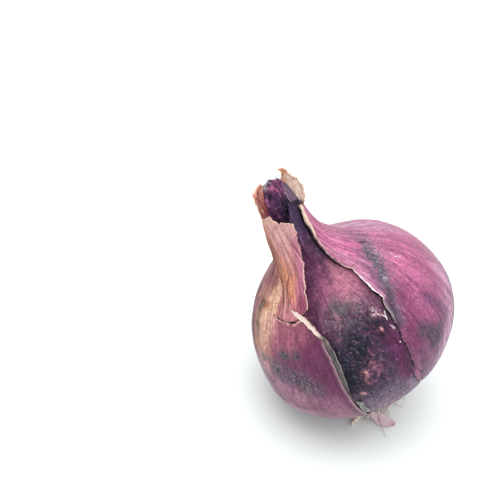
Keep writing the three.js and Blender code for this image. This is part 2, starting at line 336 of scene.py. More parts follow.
class Finish:
    """A material made of nodes. `base` is its colour so far, which each further coat goes over. A
    place in a skin is given as its `along` and its longitude."""

    def __init__(self, name):
        self.material = bpy.data.materials.new(name)
        self.material.use_nodes = True
        self.tree = self.material.node_tree
        self.tree.nodes.clear()
        self.base = None

    def node(self, kind, settings, sockets, output=0):
        """Adds a node: its settings first, then the values or wires of its sockets."""
        made = self.tree.nodes.new(kind)
        for name, value in settings.items():
            if name == "stops":
                elements = made.color_ramp.elements
                while len(elements) < len(value):
                    elements.new(0.5)
                for element, (place, _) in zip(elements, value):
                    element.position = place
                for element, (_, shade) in zip(elements, value):
                    element.color = shade
            else:
                setattr(made, name, value)
        for key, value in sockets.items():
            if isinstance(value, Wire):
                self.tree.links.new(value.socket, made.inputs[key])
            else:
                made.inputs[key].default_value = value
        return Wire(self, made.outputs[output]) if made.outputs else None

    def mark(self, name, output="Fac"):
        """A value that the mesh carries at each point."""
        return self.node("ShaderNodeAttribute", {"attribute_name": name}, {}, output)

    def grain(self):
        """The place in the skin's grain that the mesh carries."""
        return self.mark("grain", "Vector")

    def place(self):
        """Object coordinates in millimetres."""
        return self.vector("SCALE", self.node("ShaderNodeTexCoord", {}, {}, "Object"), Scale=1000.0)

    def part(self, vector, index):
        """One number of a vector."""
        return self.node("ShaderNodeSeparateXYZ", {}, {0: vector}, index)

    def vector(self, operation, *values, output=0, **named):
        """A Vector Math node on wires or vectors."""
        sockets = {**dict(enumerate(values)), **named}
        return self.node("ShaderNodeVectorMath", {"operation": operation}, sockets, output)

    def length(self, vector):
        """The length of a vector."""
        return self.vector("LENGTH", vector, output="Value")

    def noise(self, where, stretch, detail=3.0, rough=0.55):
        """Soft noise, of a number of waves a millimetre, or one for each direction."""
        scaled = self.vector("MULTIPLY", where, tuple(np.broadcast_to(stretch, 3).tolist()))
        sockets = {"Vector": scaled, "Scale": 1.0, "Detail": detail, "Roughness": rough}
        return self.node("ShaderNodeTexNoise", {}, sockets, "Fac")

    def wander(self, where, waves, size):
        """The place moved about by up to about size, so that what is laid on it has a natural edge."""
        scaled = self.vector("SCALE", where, Scale=waves)
        sockets = {"Vector": scaled, "Scale": 1.0, "Detail": 3.0}
        spread = self.node("ShaderNodeTexNoise", {}, sockets, "Color")
        moved = self.vector("SUBTRACT", spread, (0.5, 0.5, 0.5))
        return self.vector("ADD", where, self.vector("SCALE", moved, Scale=2 * size))

    def rise(self, value, start, end):
        """0 at start and 1 at end, with an S between, either way round."""
        settings = {"interpolation_type": "SMOOTHSTEP", "clamp": True}
        return self.node("ShaderNodeMapRange", settings, {"Value": value, "From Min": start, "From Max": end})

    def mask(self, given):
        """A wire or a number as it is, or the rise that (value, start, end) stands for."""
        return self.rise(*given) if isinstance(given, tuple) else given

    def lines(self, value, reach):
        """Thin lines, where a soft value passes through its middle."""
        return self.rise(value.maths("ABSOLUTE", value - 0.5), reach, reach * 0.3)

    def spot(self, where, along, longitude, length, width, soft=0.6):
        """A patch of the grain round a place, of half that length and width, fading out beyond."""
        offset = self.vector("SUBTRACT", where, tuple(grain_of(along, longitude).tolist()))
        shrunk = self.vector("MULTIPLY", offset, (1 / width, 1 / width, 1 / length))
        return self.rise(self.length(shrunk), 1 + soft, 1 - soft)

    def spots(self, where, places, soft=0.6):
        """Several patches as one."""
        total = self.spot(where, *places[0], soft)
        for place in places[1:]:
            total |= self.spot(where, *place, soft)
        return total

    def stroke(self, where, start, end, width, soft):
        """A line between two places of the grain, of that width, fading at its sides."""
        first, last = grain_of(*start), grain_of(*end)
        way = last - first
        offset = self.vector("SUBTRACT", where, tuple(first.tolist()))
        share = self.vector("DOT_PRODUCT", offset, tuple((way / (way @ way)).tolist()), output="Value")
        share = self.node("ShaderNodeClamp", {}, {0: share})
        nearest = self.vector("SCALE", tuple(way.tolist()), Scale=share)
        away = self.length(self.vector("SUBTRACT", offset, nearest))
        return self.rise(away, width / 2 * (1 + soft), width / 2 * (1 - soft))

    def path(self, where, places, width, soft=0.5):
        """A line through several places of the grain."""
        total = self.stroke(where, places[0], places[1], width, soft)
        for start, end in zip(places[1:], places[2:]):
            total |= self.stroke(where, start, end, width, soft)
        return total

    def ramp(self, value, stops):
        """A colour from the value by (place, colour) stops, with places in the value's own unit."""
        low, high = stops[0][0], stops[-1][0]
        places = [((place - low) / (high - low), colour(shade)) for place, shade in stops]
        share = (value - low) / (high - low)
        return self.node("ShaderNodeValToRGB", {"stops": places}, {"Fac": share}, "Color")

    def over(self, below, above, mask, blend="MIX"):
        """The colour above laid over the colour below where the mask is 1."""
        settings = {"data_type": "RGBA", "blend_type": blend, "clamp_factor": True}
        return self.node("ShaderNodeMix", settings, {0: mask, 6: below, 7: above}, 2)

    def coat(self, shade, *masks):
        """Lays a screen colour over the base, as far as the product of the masks."""
        cover, *others = map(self.mask, masks)
        for other in others:
            cover = cover * other
        self.base = self.over(self.base, colour(shade), cover)

    def trail(self, shade, where, places, width, soft, *masks):
        """A coat along a path."""
        self.coat(shade, self.path(where, places, width, soft), *masks)

    def shade(self, given, strength):
        """Makes the base darker where a mask is under a half, and lighter where it is over."""
        self.base = self.over(self.base, self.mask(given), strength, "OVERLAY")

    def done(self, roughness, height, relief, **constants):
        """The material, with a roughness and a bump of that relief in millimetres."""
        bump = self.node("ShaderNodeBump", {}, {"Strength": 1.0, "Distance": relief / 1000, "Height": height})
        sockets = {"Base Color": self.base, "Roughness": roughness, "Normal": bump, **constants}
        shader = self.node("ShaderNodeBsdfPrincipled", {}, sockets)
        self.node("ShaderNodeOutputMaterial", {}, {"Surface": shader})
        return self.material


def outer_skin_finish():
    """Papery magenta skin: lengthwise veins over soft patches, with cream where it has dried out,
    grey-green stains and pale torn edges."""
    f = Finish("papery red skin")
    grain = f.grain()
    wavy = f.wander(grain, 0.09, 2.4)
    ragged = f.wander(wavy, 0.35, 1.2)
    fretted = f.wander(grain, 0.5, 0.9)
    along = f.part(grain, 2)
    aside = f.part(grain, 1)
    here = f.place()
    bands = f.noise(wavy, (0.3, 0.3, 0.02), 5.0, 0.62)
    thin = f.noise(f.wander(grain, 0.06, 4), (0.24, 0.24, 0.01), 2.0, 0.5)
    hairs = f.noise(f.wander(grain, 0.3, 0.5), (0.95, 0.95, 0.05), 4.0, 0.65)
    clouds = f.noise(here, 0.17, 6.0, 0.62)
    mottle = f.noise(here, 0.5, 5.0, 0.7)
    specks = f.noise(here, 0.95, 5.0, 0.75)
    right = f.mark("start_rim")
    left = f.mark("end_rim")
    drift = along + (clouds - 0.5) * 20

    on_right = f.ramp(drift, [
        (24, "704864"), (46, "6e4360"), (54, "6c405c"), (64, "824767"), (72, "975475"), (84, "9c5677"),
        (96, "9e5d7b"), (108, "a0647e"),
    ])
    on_left = f.ramp(drift, [
        (24, "7a5468"), (46, "7c5368"), (56, "6a3c56"), (66, "5c2e4c"), (74, "6a3450"), (80, "85495c"),
        (90, "925660"), (98, "844248"), (108, "70303a"),
    ])
    on_the_left = f.rise(aside, 6, -10)
    f.base = f.over(on_right, on_left, on_the_left)

    # Right of the tear: hot pink below the neck, lilac by the ribbon, and a pale haze of painted sheen over
    # the top and side
    f.coat("a44a79", f.spot(wavy, 103, 46, 10, 9, 0.7), (bands, 0.36, 0.56), 0.75)
    f.trail("bc8ea6", wavy, [(90, 23), (96, 27), (101, 29)], 6, 0.8, (bands, 0.4, 0.56), 0.7)
    f.trail("682c50", wavy, [(76, 31), (69, 26), (60, 23)], 8, 0.8, 0.8)
    f.trail("7a385c", wavy, [(84, 52), (77, 46.6), (70, 40.6)], 8, 0.9, (bands, 0.56, 0.42), 0.45)
    # Painted sheen: a pale haze near the outline over the top and down the side.
    f.trail("a48498", wavy, [(104, 112), (96, 100), (90, 90)], 12, 0.8, (bands, 0.36, 0.58), 0.85)
    f.trail("b888a2", wavy, [(44, 42), (50, 50), (57, 57), (66, 68)], 10, 0.9, (bands, 0.34, 0.58), 0.75)
    f.trail("5e3c5a", fretted, [(67, 42.6), (61.6, 45.8), (56, 48.6)], 4.2, 0.9, (bands, 0.66, 0.5), 0.8)

    # Left of the tear: cream above, rosy below the crack, magenta beside the tear, pale at the foot, and
    # painted shadow along its left outline
    f.coat("582244", f.spot(wavy, 69, -29, 13, 6.5, 0.6), (clouds, 0.32, 0.54), 0.85)
    f.coat("8c5062", f.spot(wavy, 79, -46, 5, 10, 0.6), (clouds, 0.34, 0.56), 0.8)
    f.trail("a67e8e", wavy, [(44, -100), (46, -76), (46, -60), (44, -46)], 5, 0.9,
        (clouds + mottle, 0.8, 1.1), 0.6)
    f.trail("9c7486", wavy, [(64, -67), (58, -62), (55.5, -53), (57, -44)], 9, 0.9,
        (clouds + mottle, 0.8, 1.06), 0.55)
    dried = f.path(ragged, [(101, -66), (95, -67), (87, -69), (80, -71), (75, -72)], 16, 0.7)
    f.coat("b07c70", dried, (bands, 0.3, 0.5), 0.85)
    f.trail("d0aa8e", ragged, [(100, -59), (94, -61), (88, -64), (83, -69), (79, -72)], 10, 0.5,
        (hairs + mottle, 0.78, 1.0), 0.95)
    f.trail("b88682", ragged, [(84, -62), (79, -66), (73, -68), (67, -72)], 7, 0.9, (hairs, 0.38, 0.56), 0.8)
    f.coat("763a30", dried, f.lines(hairs, 0.05), (mottle, 0.4, 0.56), 0.75)
    f.trail("682c34", wavy, [(104, -98), (96, -92), (90, -90)], 8, 0.6, (mottle, 0.62, 0.42), 0.85)
    # Painted shadow: dark brown along the left outline, with more roughness there to damp the sheen.
    edge = f.path(ragged, [(94, -103), (88, -98), (83, -94), (77, -90), (71, -87)], 7, 0.9)
    f.coat("3e201e", edge, (mottle, 0.74, 0.42), 0.9)
    f.trail("682830", fretted, [(107, -92), (102.6, -80), (100.6, -74), (101, -64)], 7, 0.9,
        (hairs, 0.7, 0.46), 0.9)
    f.trail("785864", ragged, [(68, -88), (62, -81), (55, -75)], 6, 0.9, 0.75)
    f.trail("8e5a44", ragged, [(93, -84), (86, -82), (80, -80), (73, -79)], 7, 0.8,
        (mottle, 0.38, 0.52), 0.85)
    f.trail("6c3e36", wavy, [(90, -83), (84, -80), (77, -77), (68, -79)], 5, 0.9, (mottle, 0.62, 0.46), 0.7)
    rusty = f.spots(fretted, [
        (90.4, -74.5, 2, 6), (87, -79.5, 1.8, 3.6), (80.8, -79, 1.5, 4.4), (74.2, -80, 1.4, 3),
    ], 0.5)
    f.coat("965a32", rusty, 0.9)
    burnt = f.spots(fretted, [(90.4, -77.4, 1.7, 3.6), (87.4, -80.5, 1.5, 2.6), (81, -80, 1.1, 2.4)], 0.5)
    burnt |= f.path(fretted, [(81, -78), (79, -76.6), (76.4, -76)], 1.5, 0.6)
    f.coat("301c1a", burnt, (specks, 0.36, 0.5), 0.95)
    f.trail("c89a96", fretted, [(86, -56), (81.4, -60.8), (75.2, -65.2), (71, -71)], 0.6, 0.5,
        (mottle, 0.36, 0.5), 0.7)

    # Grey-green stains, mottled, and the band that runs beside the tear
    stains = f.spots(fretted, [
        (69.5, -70.6, 1.6, 2), (72.5, -50, 2.1, 2.6), (72.3, -41, 1.8, 2), (66.5, -60, 2.6, 3),
        (63.5, -55, 2.6, 3.4), (64.5, -47, 2.4, 3.4), (62, -42, 2.2, 2.8), (59.6, 28.4, 2, 2.4),
        (56, 32.6, 2.4, 3), (53.6, 36, 1.8, 2.2), (52.4, 31, 2, 2),
    ], 0.7)
    patch = f.path(ragged, [(67, -60), (64.5, -53), (62, -43), (59, -38)], 7, 0.9)
    patch |= f.path(ragged, [(60, 28), (56.4, 32), (53.6, 37)], 6, 0.9)
    stains |= patch
    f.coat("543e52", stains, (mottle, 0.3, 0.5), 0.85)
    f.coat("24202c", stains, (specks * 0.4 + mottle, 0.6, 0.8), 0.9)
    f.coat("a09296", stains, (specks, 0.49, 0.4), 0.15 + on_the_left * 0.4)
    course = [
        (108, 92), (101.5, 79), (98, 65), (94.5, 54), (91, 44.5), (87.5, 38), (84, 32.6), (80, 27), (76, 23),
        (70, 19.2),
    ]
    fading = f.rise(along, 101, 91) * 0.5 + 0.5
    f.trail("70566a", ragged, course, 8.4, 0.9, (mottle, 0.4, 0.6), fading, 0.75)
    streaked = f.path(ragged, [(98, 44), (92, 35), (87, 29.6), (82, 25.4)], 4.4, 0.8)
    f.coat("70486c", streaked, (bands, 0.54, 0.4), 0.75)
    f.coat("c494b0", streaked, (bands, 0.52, 0.62), 0.6)
    band = f.path(ragged, course, 5.2, 0.7)
    f.coat("5e505e", band, (mottle, 0.3, 0.48), fading, 0.85)
    f.trail("4a4052", ragged, [(93, 46), (89, 38.6), (86.4, 34.6), (84.6, 32)], 8, 0.9,
        (mottle, 0.34, 0.54), 0.75)
    core = f.path(ragged, [(94, 52), (91.6, 45.4), (88.8, 40.8), (86, 36.6)], 4.6, 0.7)
    f.coat("2e3838", core, (mottle + specks * 0.7, 0.84, 0.96), 0.9)
    f.trail("2e2234", ragged, [(79.5, 26.4), (76, 22.8), (72.5, 20), (68, 17.6)], 3.0, 0.8,
        (specks, 0.4, 0.54), 0.85)
    f.coat("8e948e", core, (specks, 0.55, 0.66), 0.6)
    f.trail("ac98a4", fretted, [(96, 64), (93.6, 57), (90, 48)], 3, 0.9, (specks, 0.5, 0.62), 0.5)
    f.coat("b0a8a8", f.spot(fretted, 83.6, 31.4, 1.2, 1.4, 0.7), (specks, 0.5, 0.6), 0.5)

    # Fine markings: stripes and hairs along the grain, clouds, dust, and a few crisp dark veins
    smoother = 1 - f.rise(along, 90, 76) * on_the_left * 0.15
    f.shade((bands, 0.3, 0.7), 0.17 - on_the_left * 0.06)
    f.shade((hairs, 0.28, 0.72), smoother * 0.27)
    f.shade((mottle, 0.26, 0.74), 0.2 - on_the_left * 0.06)
    f.shade((specks, 0.3, 0.7), 0.34 * smoother)
    f.coat("481a3a", f.lines(thin, 0.01), (bands, 0.36, 0.5), 0.7 - on_the_left * 0.5)
    necklines = f.rise(along, 80, 102) * (0.7 - on_the_left * 0.4)
    f.coat("501a3c", f.lines(bands, 0.016), necklines)
    f.coat("501a3c", f.lines(bands + 0.06, 0.012), necklines)
    f.coat("8c3460", (along, 106, 118), 0.45 - on_the_left * 0.45)
    f.coat("8a2254", (bands, 0.48, 0.36), (along, 98, 110), 0.75 - on_the_left * 0.75)
    f.coat("cea0b0", f.lines(bands - 0.07, 0.02), (along, 92, 106), 0.5)
    f.coat("c4a8b4", (specks, 0.64, 0.7), (mottle, 0.46, 0.6), 0.4)
    f.trail("d4b8c0", fretted, [(87, 53.2), (86.1, 52.8), (84.6, 52.4), (83.6, 53.6), (83.5, 55.6)], 0.9, 0.4,
        (specks, 0.42, 0.54), 0.7)
    f.coat("0e060c", f.spot(fretted, 97.3, 59.2, 1.1, 0.8, 0.3), 0.95)

    # The right skin's torn edge: a cream lining at the neck with a line of painted shadow on the very edge, a
    # pale ribbon with a white edge, a grey sliver, and a black line to the root
    width = f.rise(along, 109.5, 118.5) * 1.5 + (bands - 0.5) + f.rise(along, 96, 102) * 0.5
    f.coat("be828a", (right - width, 1.2, 0.4), (along, 93, 99), (bands, 0.38, 0.56), 0.75)
    f.coat("deccb8", (right - width, 0.4, 0.1), (along, 88, 93), 0.95)
    # Painted shadow: dark along the very edge of the skin by the neck, where it stands off the bulb.
    f.coat("140a1c", (right + (specks - 0.5), 0.7, 0.5), (along, 94, 100), (along, 121, 117), 0.9)
    f.coat("703246", f.lines(hairs, 0.06), (right, 3, 1), (along, 104, 112), 0.6)
    ribbon = f.rise(along, 77.6, 78.6) * f.rise(along, 96, 88)
    f.coat("b08098", (right + (bands - 0.5) * 4, 1.5, 0.6), ribbon, 0.6)
    f.coat("e4dadc", (right + (mottle - 0.5) * 2.4, 0.5, 0.25), ribbon, 0.95)
    sliver = f.rise(along, 68, 71.5) * f.rise(along, 78.6, 77.6)
    f.coat("7a7478", (right + (mottle - 0.5) * 2, 1.0, 0.7), sliver, 0.9)
    f.coat("0c060e", (right + (specks - 0.5) * 1.2, 0.4, 0.15), (along, 74, 70), (mottle, 0.38, 0.5))

    # The left skin's torn edge: a pale rolled rim, with painted shade in the hollow behind it
    rim = f.rise(along, 77, 74)
    uneven = left + (mottle - 0.5) * 2.4
    f.coat("4c1c3c", (uneven, 0.8, 1.5), (uneven, 4.5, 2), rim, 0.7)
    f.coat("825a6a", (uneven, 1.4, 0.8), rim, 0.8)
    f.coat("a88a8e", (left + (specks - 0.5) * 1.6, 0.4, 0.2), rim, 0.8)

    # The crack below the neck strip: beads of painted shadow under the strip's raised foot, with a pale rim
    # under it, the torn lip of the skin below, partly its own paler edge and partly painted light
    under = [(86.4, -55), (85, -48), (83.9, -42), (83.9, -36), (85, -32)]
    f.trail("dcaaa8", fretted, under, 1, 0.5, (specks, 0.46, 0.54), 0.85)
    beads = f.stroke(fretted, (87.2, -57.4), (87.1, -56.6), 0.8, 0.3)
    for start, end, size in (
        ((86.5, -52.8), (86.2, -51.2), 1.1), ((85.8, -48.2), (85.7, -47.6), 1.0),
        ((85.1, -41), (85, -37.4), 2.1), ((85.4, -33.6), (86.2, -31.4), 1.2),
        ((85.3, -44.8), (85.3, -44.4), 0.9),
    ):
        beads |= f.stroke(fretted, start, end, size, 0.3)
    f.coat("0e050c", beads, (specks, 0.34, 0.4))
    f.coat("ba9292", 1 - f.mark("face"), 0.7)

    height = bands * 0.3 + hairs * 0.4 + specks * 0.25 + mottle * 0.15
    roughness = 0.42 + specks * 0.16 + band * 0.12 + edge * 0.45
    return f.done(roughness, height, 0.3, **SHEEN)


def inner_skin_finish():
    """The darker skin of the bulb: aubergine at the neck, rosy on the shoulder, then dark magenta
    under blue-black and grey-green mould with small pale flecks and threads."""
    f = Finish("dark inner skin")
    grain = f.grain()
    wavy = f.wander(grain, 0.1, 3.0)
    ragged = f.wander(wavy, 0.35, 1.4)
    fretted = f.wander(grain, 0.45, 1.3)
    along = f.part(grain, 2)
    here = f.place()
    clouds = f.noise(here, 0.13, 5.0, 0.6)
    mottle = f.noise(here, 0.4, 6.0, 0.68)
    specks = f.noise(here, 0.9, 5.0, 0.78)
    veins = f.noise(wavy, (0.9, 0.9, 0.025), 3.0)
    threads = f.noise(f.wander(here, 0.4, 1.2), 0.5, 1.0)
    right = f.mark("from_right")

    # Greyish towards the root, up to about 43 along: painted reflection of the floor. Past 132 the recess in
    # the neck is near black: painted shade.
    f.base = f.ramp(along + (clouds - 0.5) * 12, [
        (8, "786476"), (34, "786274"), (43, "6a586a"), (50, "4e3f54"), (58, "4a2a46"), (68, "4a2642"),
        (77, "523248"), (85, "6c4258"), (92, "844c64"), (98, "6a3652"), (105, "502642"), (114, "4b2a46"),
        (132, "422e4a"), (133, "090610"),
    ])
    f.trail("a26679", wavy, [(96, 15), (93, 9), (90, 3)], 12, 0.7, (clouds, 0.3, 0.5), 0.8)
    f.trail("824862", wavy, [(92, 0), (90, -7)], 9, 0.8, (clouds, 0.36, 0.54), 0.6)
    f.trail("3c1b37", wavy, [(113, -4), (104, -12), (96, -19), (88, -22), (80, -22)], 7, 0.8, 0.75)
    f.trail("421a38", wavy, [(104, 9), (100, 4), (97, 0)], 5, 0.8, 0.5)
    f.trail("544454", wavy, [(46, -12), (42, 0), (40, 12)], 5, 0.9, 0.3)
    f.trail("542846", wavy, [(92, -13), (84, -14), (78, -14)], 7, 0.9, 0.5)
    f.trail("542146", wavy, [(68, 10), (60, 11), (54, 10.5), (49, 11)], 7, 0.7, 0.8)

    # Mould: grey-green at its top, then blue-black, with a navy line of painted shadow on its left, under the
    # dull band's edge
    f.coat("5c565c", f.spot(ragged, 81, -4, 6, 8, 0.7), (mottle, 0.38, 0.5), 0.65)
    f.coat("36383c", f.spots(ragged, [(82, -1.6, 3.6, 4), (84.4, -6, 3, 4)], 0.9), (mottle, 0.4, 0.54), 0.75)
    f.coat("685060", f.spot(ragged, 74.6, -8, 2.2, 2.2, 0.9), 0.5)
    mould = f.spot(ragged, 64, -7, 14, 10, 0.5)
    core = f.path(ragged, [(71.6, 9), (71, 3), (69, -4), (64.6, -11.5), (59, -15)], 9.5, 0.9)
    f.coat("30283a", mould, (mottle + clouds * 0.6, 0.62, 0.78), 0.9)
    core |= f.spots(ragged, [(72.6, -1.6, 3.6, 3.6), (70.4, 3.4, 3.6, 3.8), (68.6, 8, 2.6, 2.8)], 0.8)
    f.coat("0e1022", core, (mottle + clouds * 0.4, 0.56, 0.74), 0.95)
    f.trail("161020", wavy, [(76, -19), (70, -18), (62, -19), (54, -20)], 3, 0.8, 0.85)
    f.coat("603e52", f.spot(ragged, 58.5, -4, 4.5, 5, 0.7), (mottle, 0.44, 0.56), 0.8)
    f.trail("0c0e12", ragged, [(76, 2), (70, 0), (64, -10), (57, -13)], 11, 0.7, (specks, 0.52, 0.44),
        (clouds, 0.36, 0.5), 0.8)
    f.trail("5c6260", ragged, [(84, -5), (78, -3), (71, -1), (64, -10)], 12, 0.7, (specks, 0.56, 0.66), 0.5)
    dusky = f.spots(ragged, [
        (58.8, -8.2, 1.4, 1.2), (56.4, -9, 1, 1), (58.4, -2.6, 1.6, 1.1), (55, -8.4, 1, 0.9),
        (51.5, -0.8, 0.8, 0.8), (65.4, -0.8, 1.4, 0.8), (65.1, 4, 1, 0.8), (81.7, -9.6, 1.6, 0.9),
        (73.7, -13.2, 1, 0.8), (70.5, 10, 0.9, 0.7), (61.5, -4, 1.2, 1), (76, 12.6, 1.8, 1.5),
        (78.4, -11, 1.4, 0.7),
    ], 0.95)
    f.coat("8c566a", dusky, (specks, 0.34, 0.54), 0.65)
    creamy = f.spots(fretted, [
        (50.8, -14.8, 0.8, 0.8), (59, -8.4, 1, 0.9), (57.4, -9, 0.7, 0.6), (70.5, 10, 0.5, 0.4),
    ], 0.9)
    f.coat("c08c88", creamy, (specks, 0.38, 0.54), 0.75)
    whitish = f.spots(fretted, [(76.2, 12.8, 1.2, 0.9), (76, 10.6, 0.9, 0.8), (77.4, 11.4, 1.4, 0.4)], 0.9)
    f.coat("c6a8b4", whitish, (specks, 0.38, 0.54), 0.8)
    for ridge in (
        [(124, 22), (121, 18), (115.7, 10.8), (110.5, 2)], [(123, 41), (117.5, 33), (112, 23.6), (107, 13)],
    ):
        f.trail("705474", wavy, ridge, 1.6, 0.9, (mottle, 0.4, 0.56), 0.5)

    # Fine markings: mottling, dust, veins and threads
    f.shade((mottle, 0.3, 0.7), 0.3)
    f.shade((specks, 0.34, 0.66), 0.45 - f.rise(along, 76, 90) * 0.2)
    f.shade((veins, 0.3, 0.7), 0.25)
    f.coat("9c8e92", (specks, 0.6, 0.68), (clouds, 0.4, 0.56), (along, 50, 70), 0.45)
    f.coat("a08e92", f.lines(threads, 0.008), (mottle, 0.54, 0.6), (along, 50, 66), 0.5)
    for scratch in (
        [(88.4, 3), (85.6, 4.4)], [(84.6, 6.4), (82.2, 8.8)], [(90, -9), (87, -9.6)],
        [(79.6, -9), (76, -10.6)], [(97, 6), (95, 7.6)],
    ):
        f.trail("bea0a2", fretted, scratch, 0.4, 0.5, (specks, 0.4, 0.5), 0.6)
    top = f.rise(along, 112, 122)
    f.coat("30223e", top, 0.6)
    f.coat("685c76", f.lines(veins, 0.03), top, 0.5)

    # Painted shade on the bulb in the gap beside the right skin's edge, and dark lines along the crack below
    # it
    f.coat("241632", (right, 5, 0.8), (along, 96, 110), 0.5)
    f.coat("0c0614", (right, 0.7, 0.15), (along, 84, 104), 0.8)
    f.coat("0c060e", (right, 0.25, 0.1), (along, 96, 80), (mottle, 0.4, 0.46), 0.9)
    f.trail("0c060e", fretted, [(66, 13), (60, 12.4), (55, 12), (50, 12.6)], 0.5, 0.5,
        (mottle, 0.4, 0.52), 0.8)
    f.trail("965070", wavy, [(47, 16), (43, 17.6), (37, 20.4)], 2.6, 0.6, (specks, 0.38, 0.52), 0.85)
    f.trail("1a0a1a", fretted, [(49.4, 13), (45, 14.8), (41.6, 16.2), (36, 20.4), (33, 22.4)], 0.9, 0.5,
        (specks, 0.4, 0.46), 0.85)
    f.trail("cec6c4", grain, [(74.9, 17.0), (74.1, 16.2), (72, 15.2)], 0.42, 0.5, 0.9)
    f.trail("cec6c4", grain, [(74.4, 14.4), (72.9, 15.4)], 0.36, 0.5, 0.9)
    f.trail("aa9aa0", fretted, [(70, 15.2), (67.6, 16)], 1.0, 0.4, 0.9)
    f.coat("d6c8c6", f.spot(grain, 62.6, 14.4, 0.32, 0.24, 0.4), 0.9)

    height = mottle * 0.5 + specks * 0.6 + veins * 0.5
    roughness = 0.45 + specks * 0.2
    return f.done(roughness, height, 0.2, **DULL)


def dry_skin_finish(name, base, light, dark, tints=(), streak=1.0):
    """A dry scale: a base colour with light and dark streaks along its grain. Each tint is a mark,
    its values at none and all of the tint, a colour and a strength."""
    f = Finish(name)
    grain = f.grain()
    wavy = f.wander(grain, 0.1, 2.0)
    wide = f.noise(wavy, (0.22, 0.22, 0.03), 3.0)
    bands = f.noise(wavy, (0.7, 0.7, 0.04), 3.0)
    hairs = f.noise(f.wander(grain, 0.3, 0.4), (1.8, 1.8, 0.1), 3.0, 0.6)
    specks = f.noise(f.place(), 1.4, 4.0, 0.7)
    f.base = colour(base)
    f.coat(light, (wide, 0.4, 0.66), streak)
    for mark, start, end, tint, strength in tints:
        f.coat(tint, (f.mark(mark) + (bands - 0.5) * abs(end - start) * 1.6, start, end), strength)
    f.coat(dark, (bands, 0.48, 0.3), 0.8, streak)
    f.coat(dark, f.lines(hairs, 0.05), (specks, 0.36, 0.54), 0.7, streak)
    f.coat(light, (hairs, 0.44, 0.3), 0.6, streak)
    f.shade((specks, 0.34, 0.66), 0.3)
    height = bands * 0.6 + hairs * 0.5 + specks * 0.3
    return f.done(0.5 + specks * 0.2, height, 0.35, **DULL)


def strip_finish():
    """The neck strip: cream and pink with brown streaks at the top, orange down its middle, rosy at
    the foot and violet on the right, with a pale torn right edge low down."""
    f = Finish("pink brown dry skin")
    grain = f.grain()
    wavy = f.wander(grain, 0.1, 2.0)
    fretted = f.wander(grain, 0.5, 0.8)
    along = f.part(grain, 2)
    wide = f.noise(wavy, (0.26, 0.26, 0.02), 3.0)
    bands = f.noise(wavy, (0.6, 0.6, 0.035), 4.0, 0.6)
    hairs = f.noise(f.wander(grain, 0.3, 0.5), (1.3, 1.3, 0.07), 4.0, 0.65)
    specks = f.noise(f.place(), 1.3, 4.0, 0.7)
    mottle = f.noise(f.place(), 0.45, 4.0, 0.6)
    right = f.mark("end_rim")
    f.base = f.ramp(along + (wide - 0.5) * 14, [
        (85, "a66a72"), (91, "ac6e70"), (98, "ac6c66"), (105, "b27670"), (112, "bc8682"), (119, "c29492"),
        (127, "c69a92"),
    ])
    f.coat("d6b0a0", (wide, 0.5, 0.62), (along, 100, 112), 0.75)
    f.trail("b26a52", wavy, [(112, -50), (105, -48), (100, -40), (94, -38)], 6, 0.8,
        (bands, 0.36, 0.56), 0.75)
    # A painted highlight: a bright golden line down the orange.
    f.trail("d09470", wavy, [(101, -38), (96, -35), (92, -34)], 2.4, 0.9, (bands, 0.36, 0.52), 0.6)
    violet = f.path(wavy, [(117, -2), (111, -10), (106, -15)], 13, 0.6)
    violet |= f.path(wavy, [(106, -16), (99, -23), (92, -26)], 8, 0.7)
    violet = violet * f.rise(along, 119.5, 114.5)
    f.coat("aa6684", violet, 0.8)
    f.coat("d6a4b0", violet, (bands, 0.52, 0.64), 0.6)
    f.coat("703658", violet, (bands, 0.46, 0.38), 0.75)
    f.trail("b88264", wavy, [(126, -62), (118, -66), (111, -64), (105, -60), (100, -52)], 18, 0.7,
        (bands, 0.32, 0.52), 0.75)
    brown = f.path(wavy, [(121, -76), (114, -70), (108, -66), (102, -58), (95, -50)], 11, 0.8)
    f.coat("8a5250", f.spot(wavy, 112.5, -61, 8, 5, 0.8), 0.8)
    f.coat("ae7284", f.spot(wavy, 116.5, -40, 6, 8, 0.8), 0.35)
    f.coat("764634", brown, (bands, 0.66, 0.44), 0.85)
    f.coat("7e3c54", f.spot(wavy, 90, -27, 5.5, 4, 0.7), 0.95)
    f.coat("bc888a", f.spot(wavy, 90, -44, 4, 4, 0.7), (mottle, 0.4, 0.56), 0.75)
    f.trail("ceb0a8", fretted, [(96, -46), (91, -44)], 1.1, 0.8, (bands, 0.4, 0.56), 0.7)
    f.trail("5c2434", fretted, [(106, -60), (101, -52), (96, -47.6), (92, -46.6)], 1.2, 0.7, 0.75)
    f.coat("68363a", (bands, 0.45, 0.33), 0.65)
    f.coat("5c2e34", f.lines(hairs, 0.035), (bands, 0.58, 0.44), 0.5 + 0.35 * f.rise(along, 100, 116))
    f.coat("543232", (mottle, 0.56, 0.64), (hairs, 0.5, 0.6), (along, 104, 120), 0.65)
    f.shade((hairs, 0.3, 0.7), 0.42)
    f.shade((specks, 0.34, 0.66), 0.2)
    f.coat("dec0b0", (right + (specks - 0.5) * 1.2, 0.4, 0.2), 0.25 + 0.6 * f.rise(along, 108, 102))
    f.coat("debcaa", (f.mark("top_rim") + (specks - 0.5), 0.4, 0.15), 0.7)
    f.coat("be9c8c", 1 - f.mark("face"), 0.6)
    height = bands * 0.7 + hairs * 0.6 + specks * 0.3
    return f.done(0.5 + specks * 0.2, height, 0.45, **DULL)


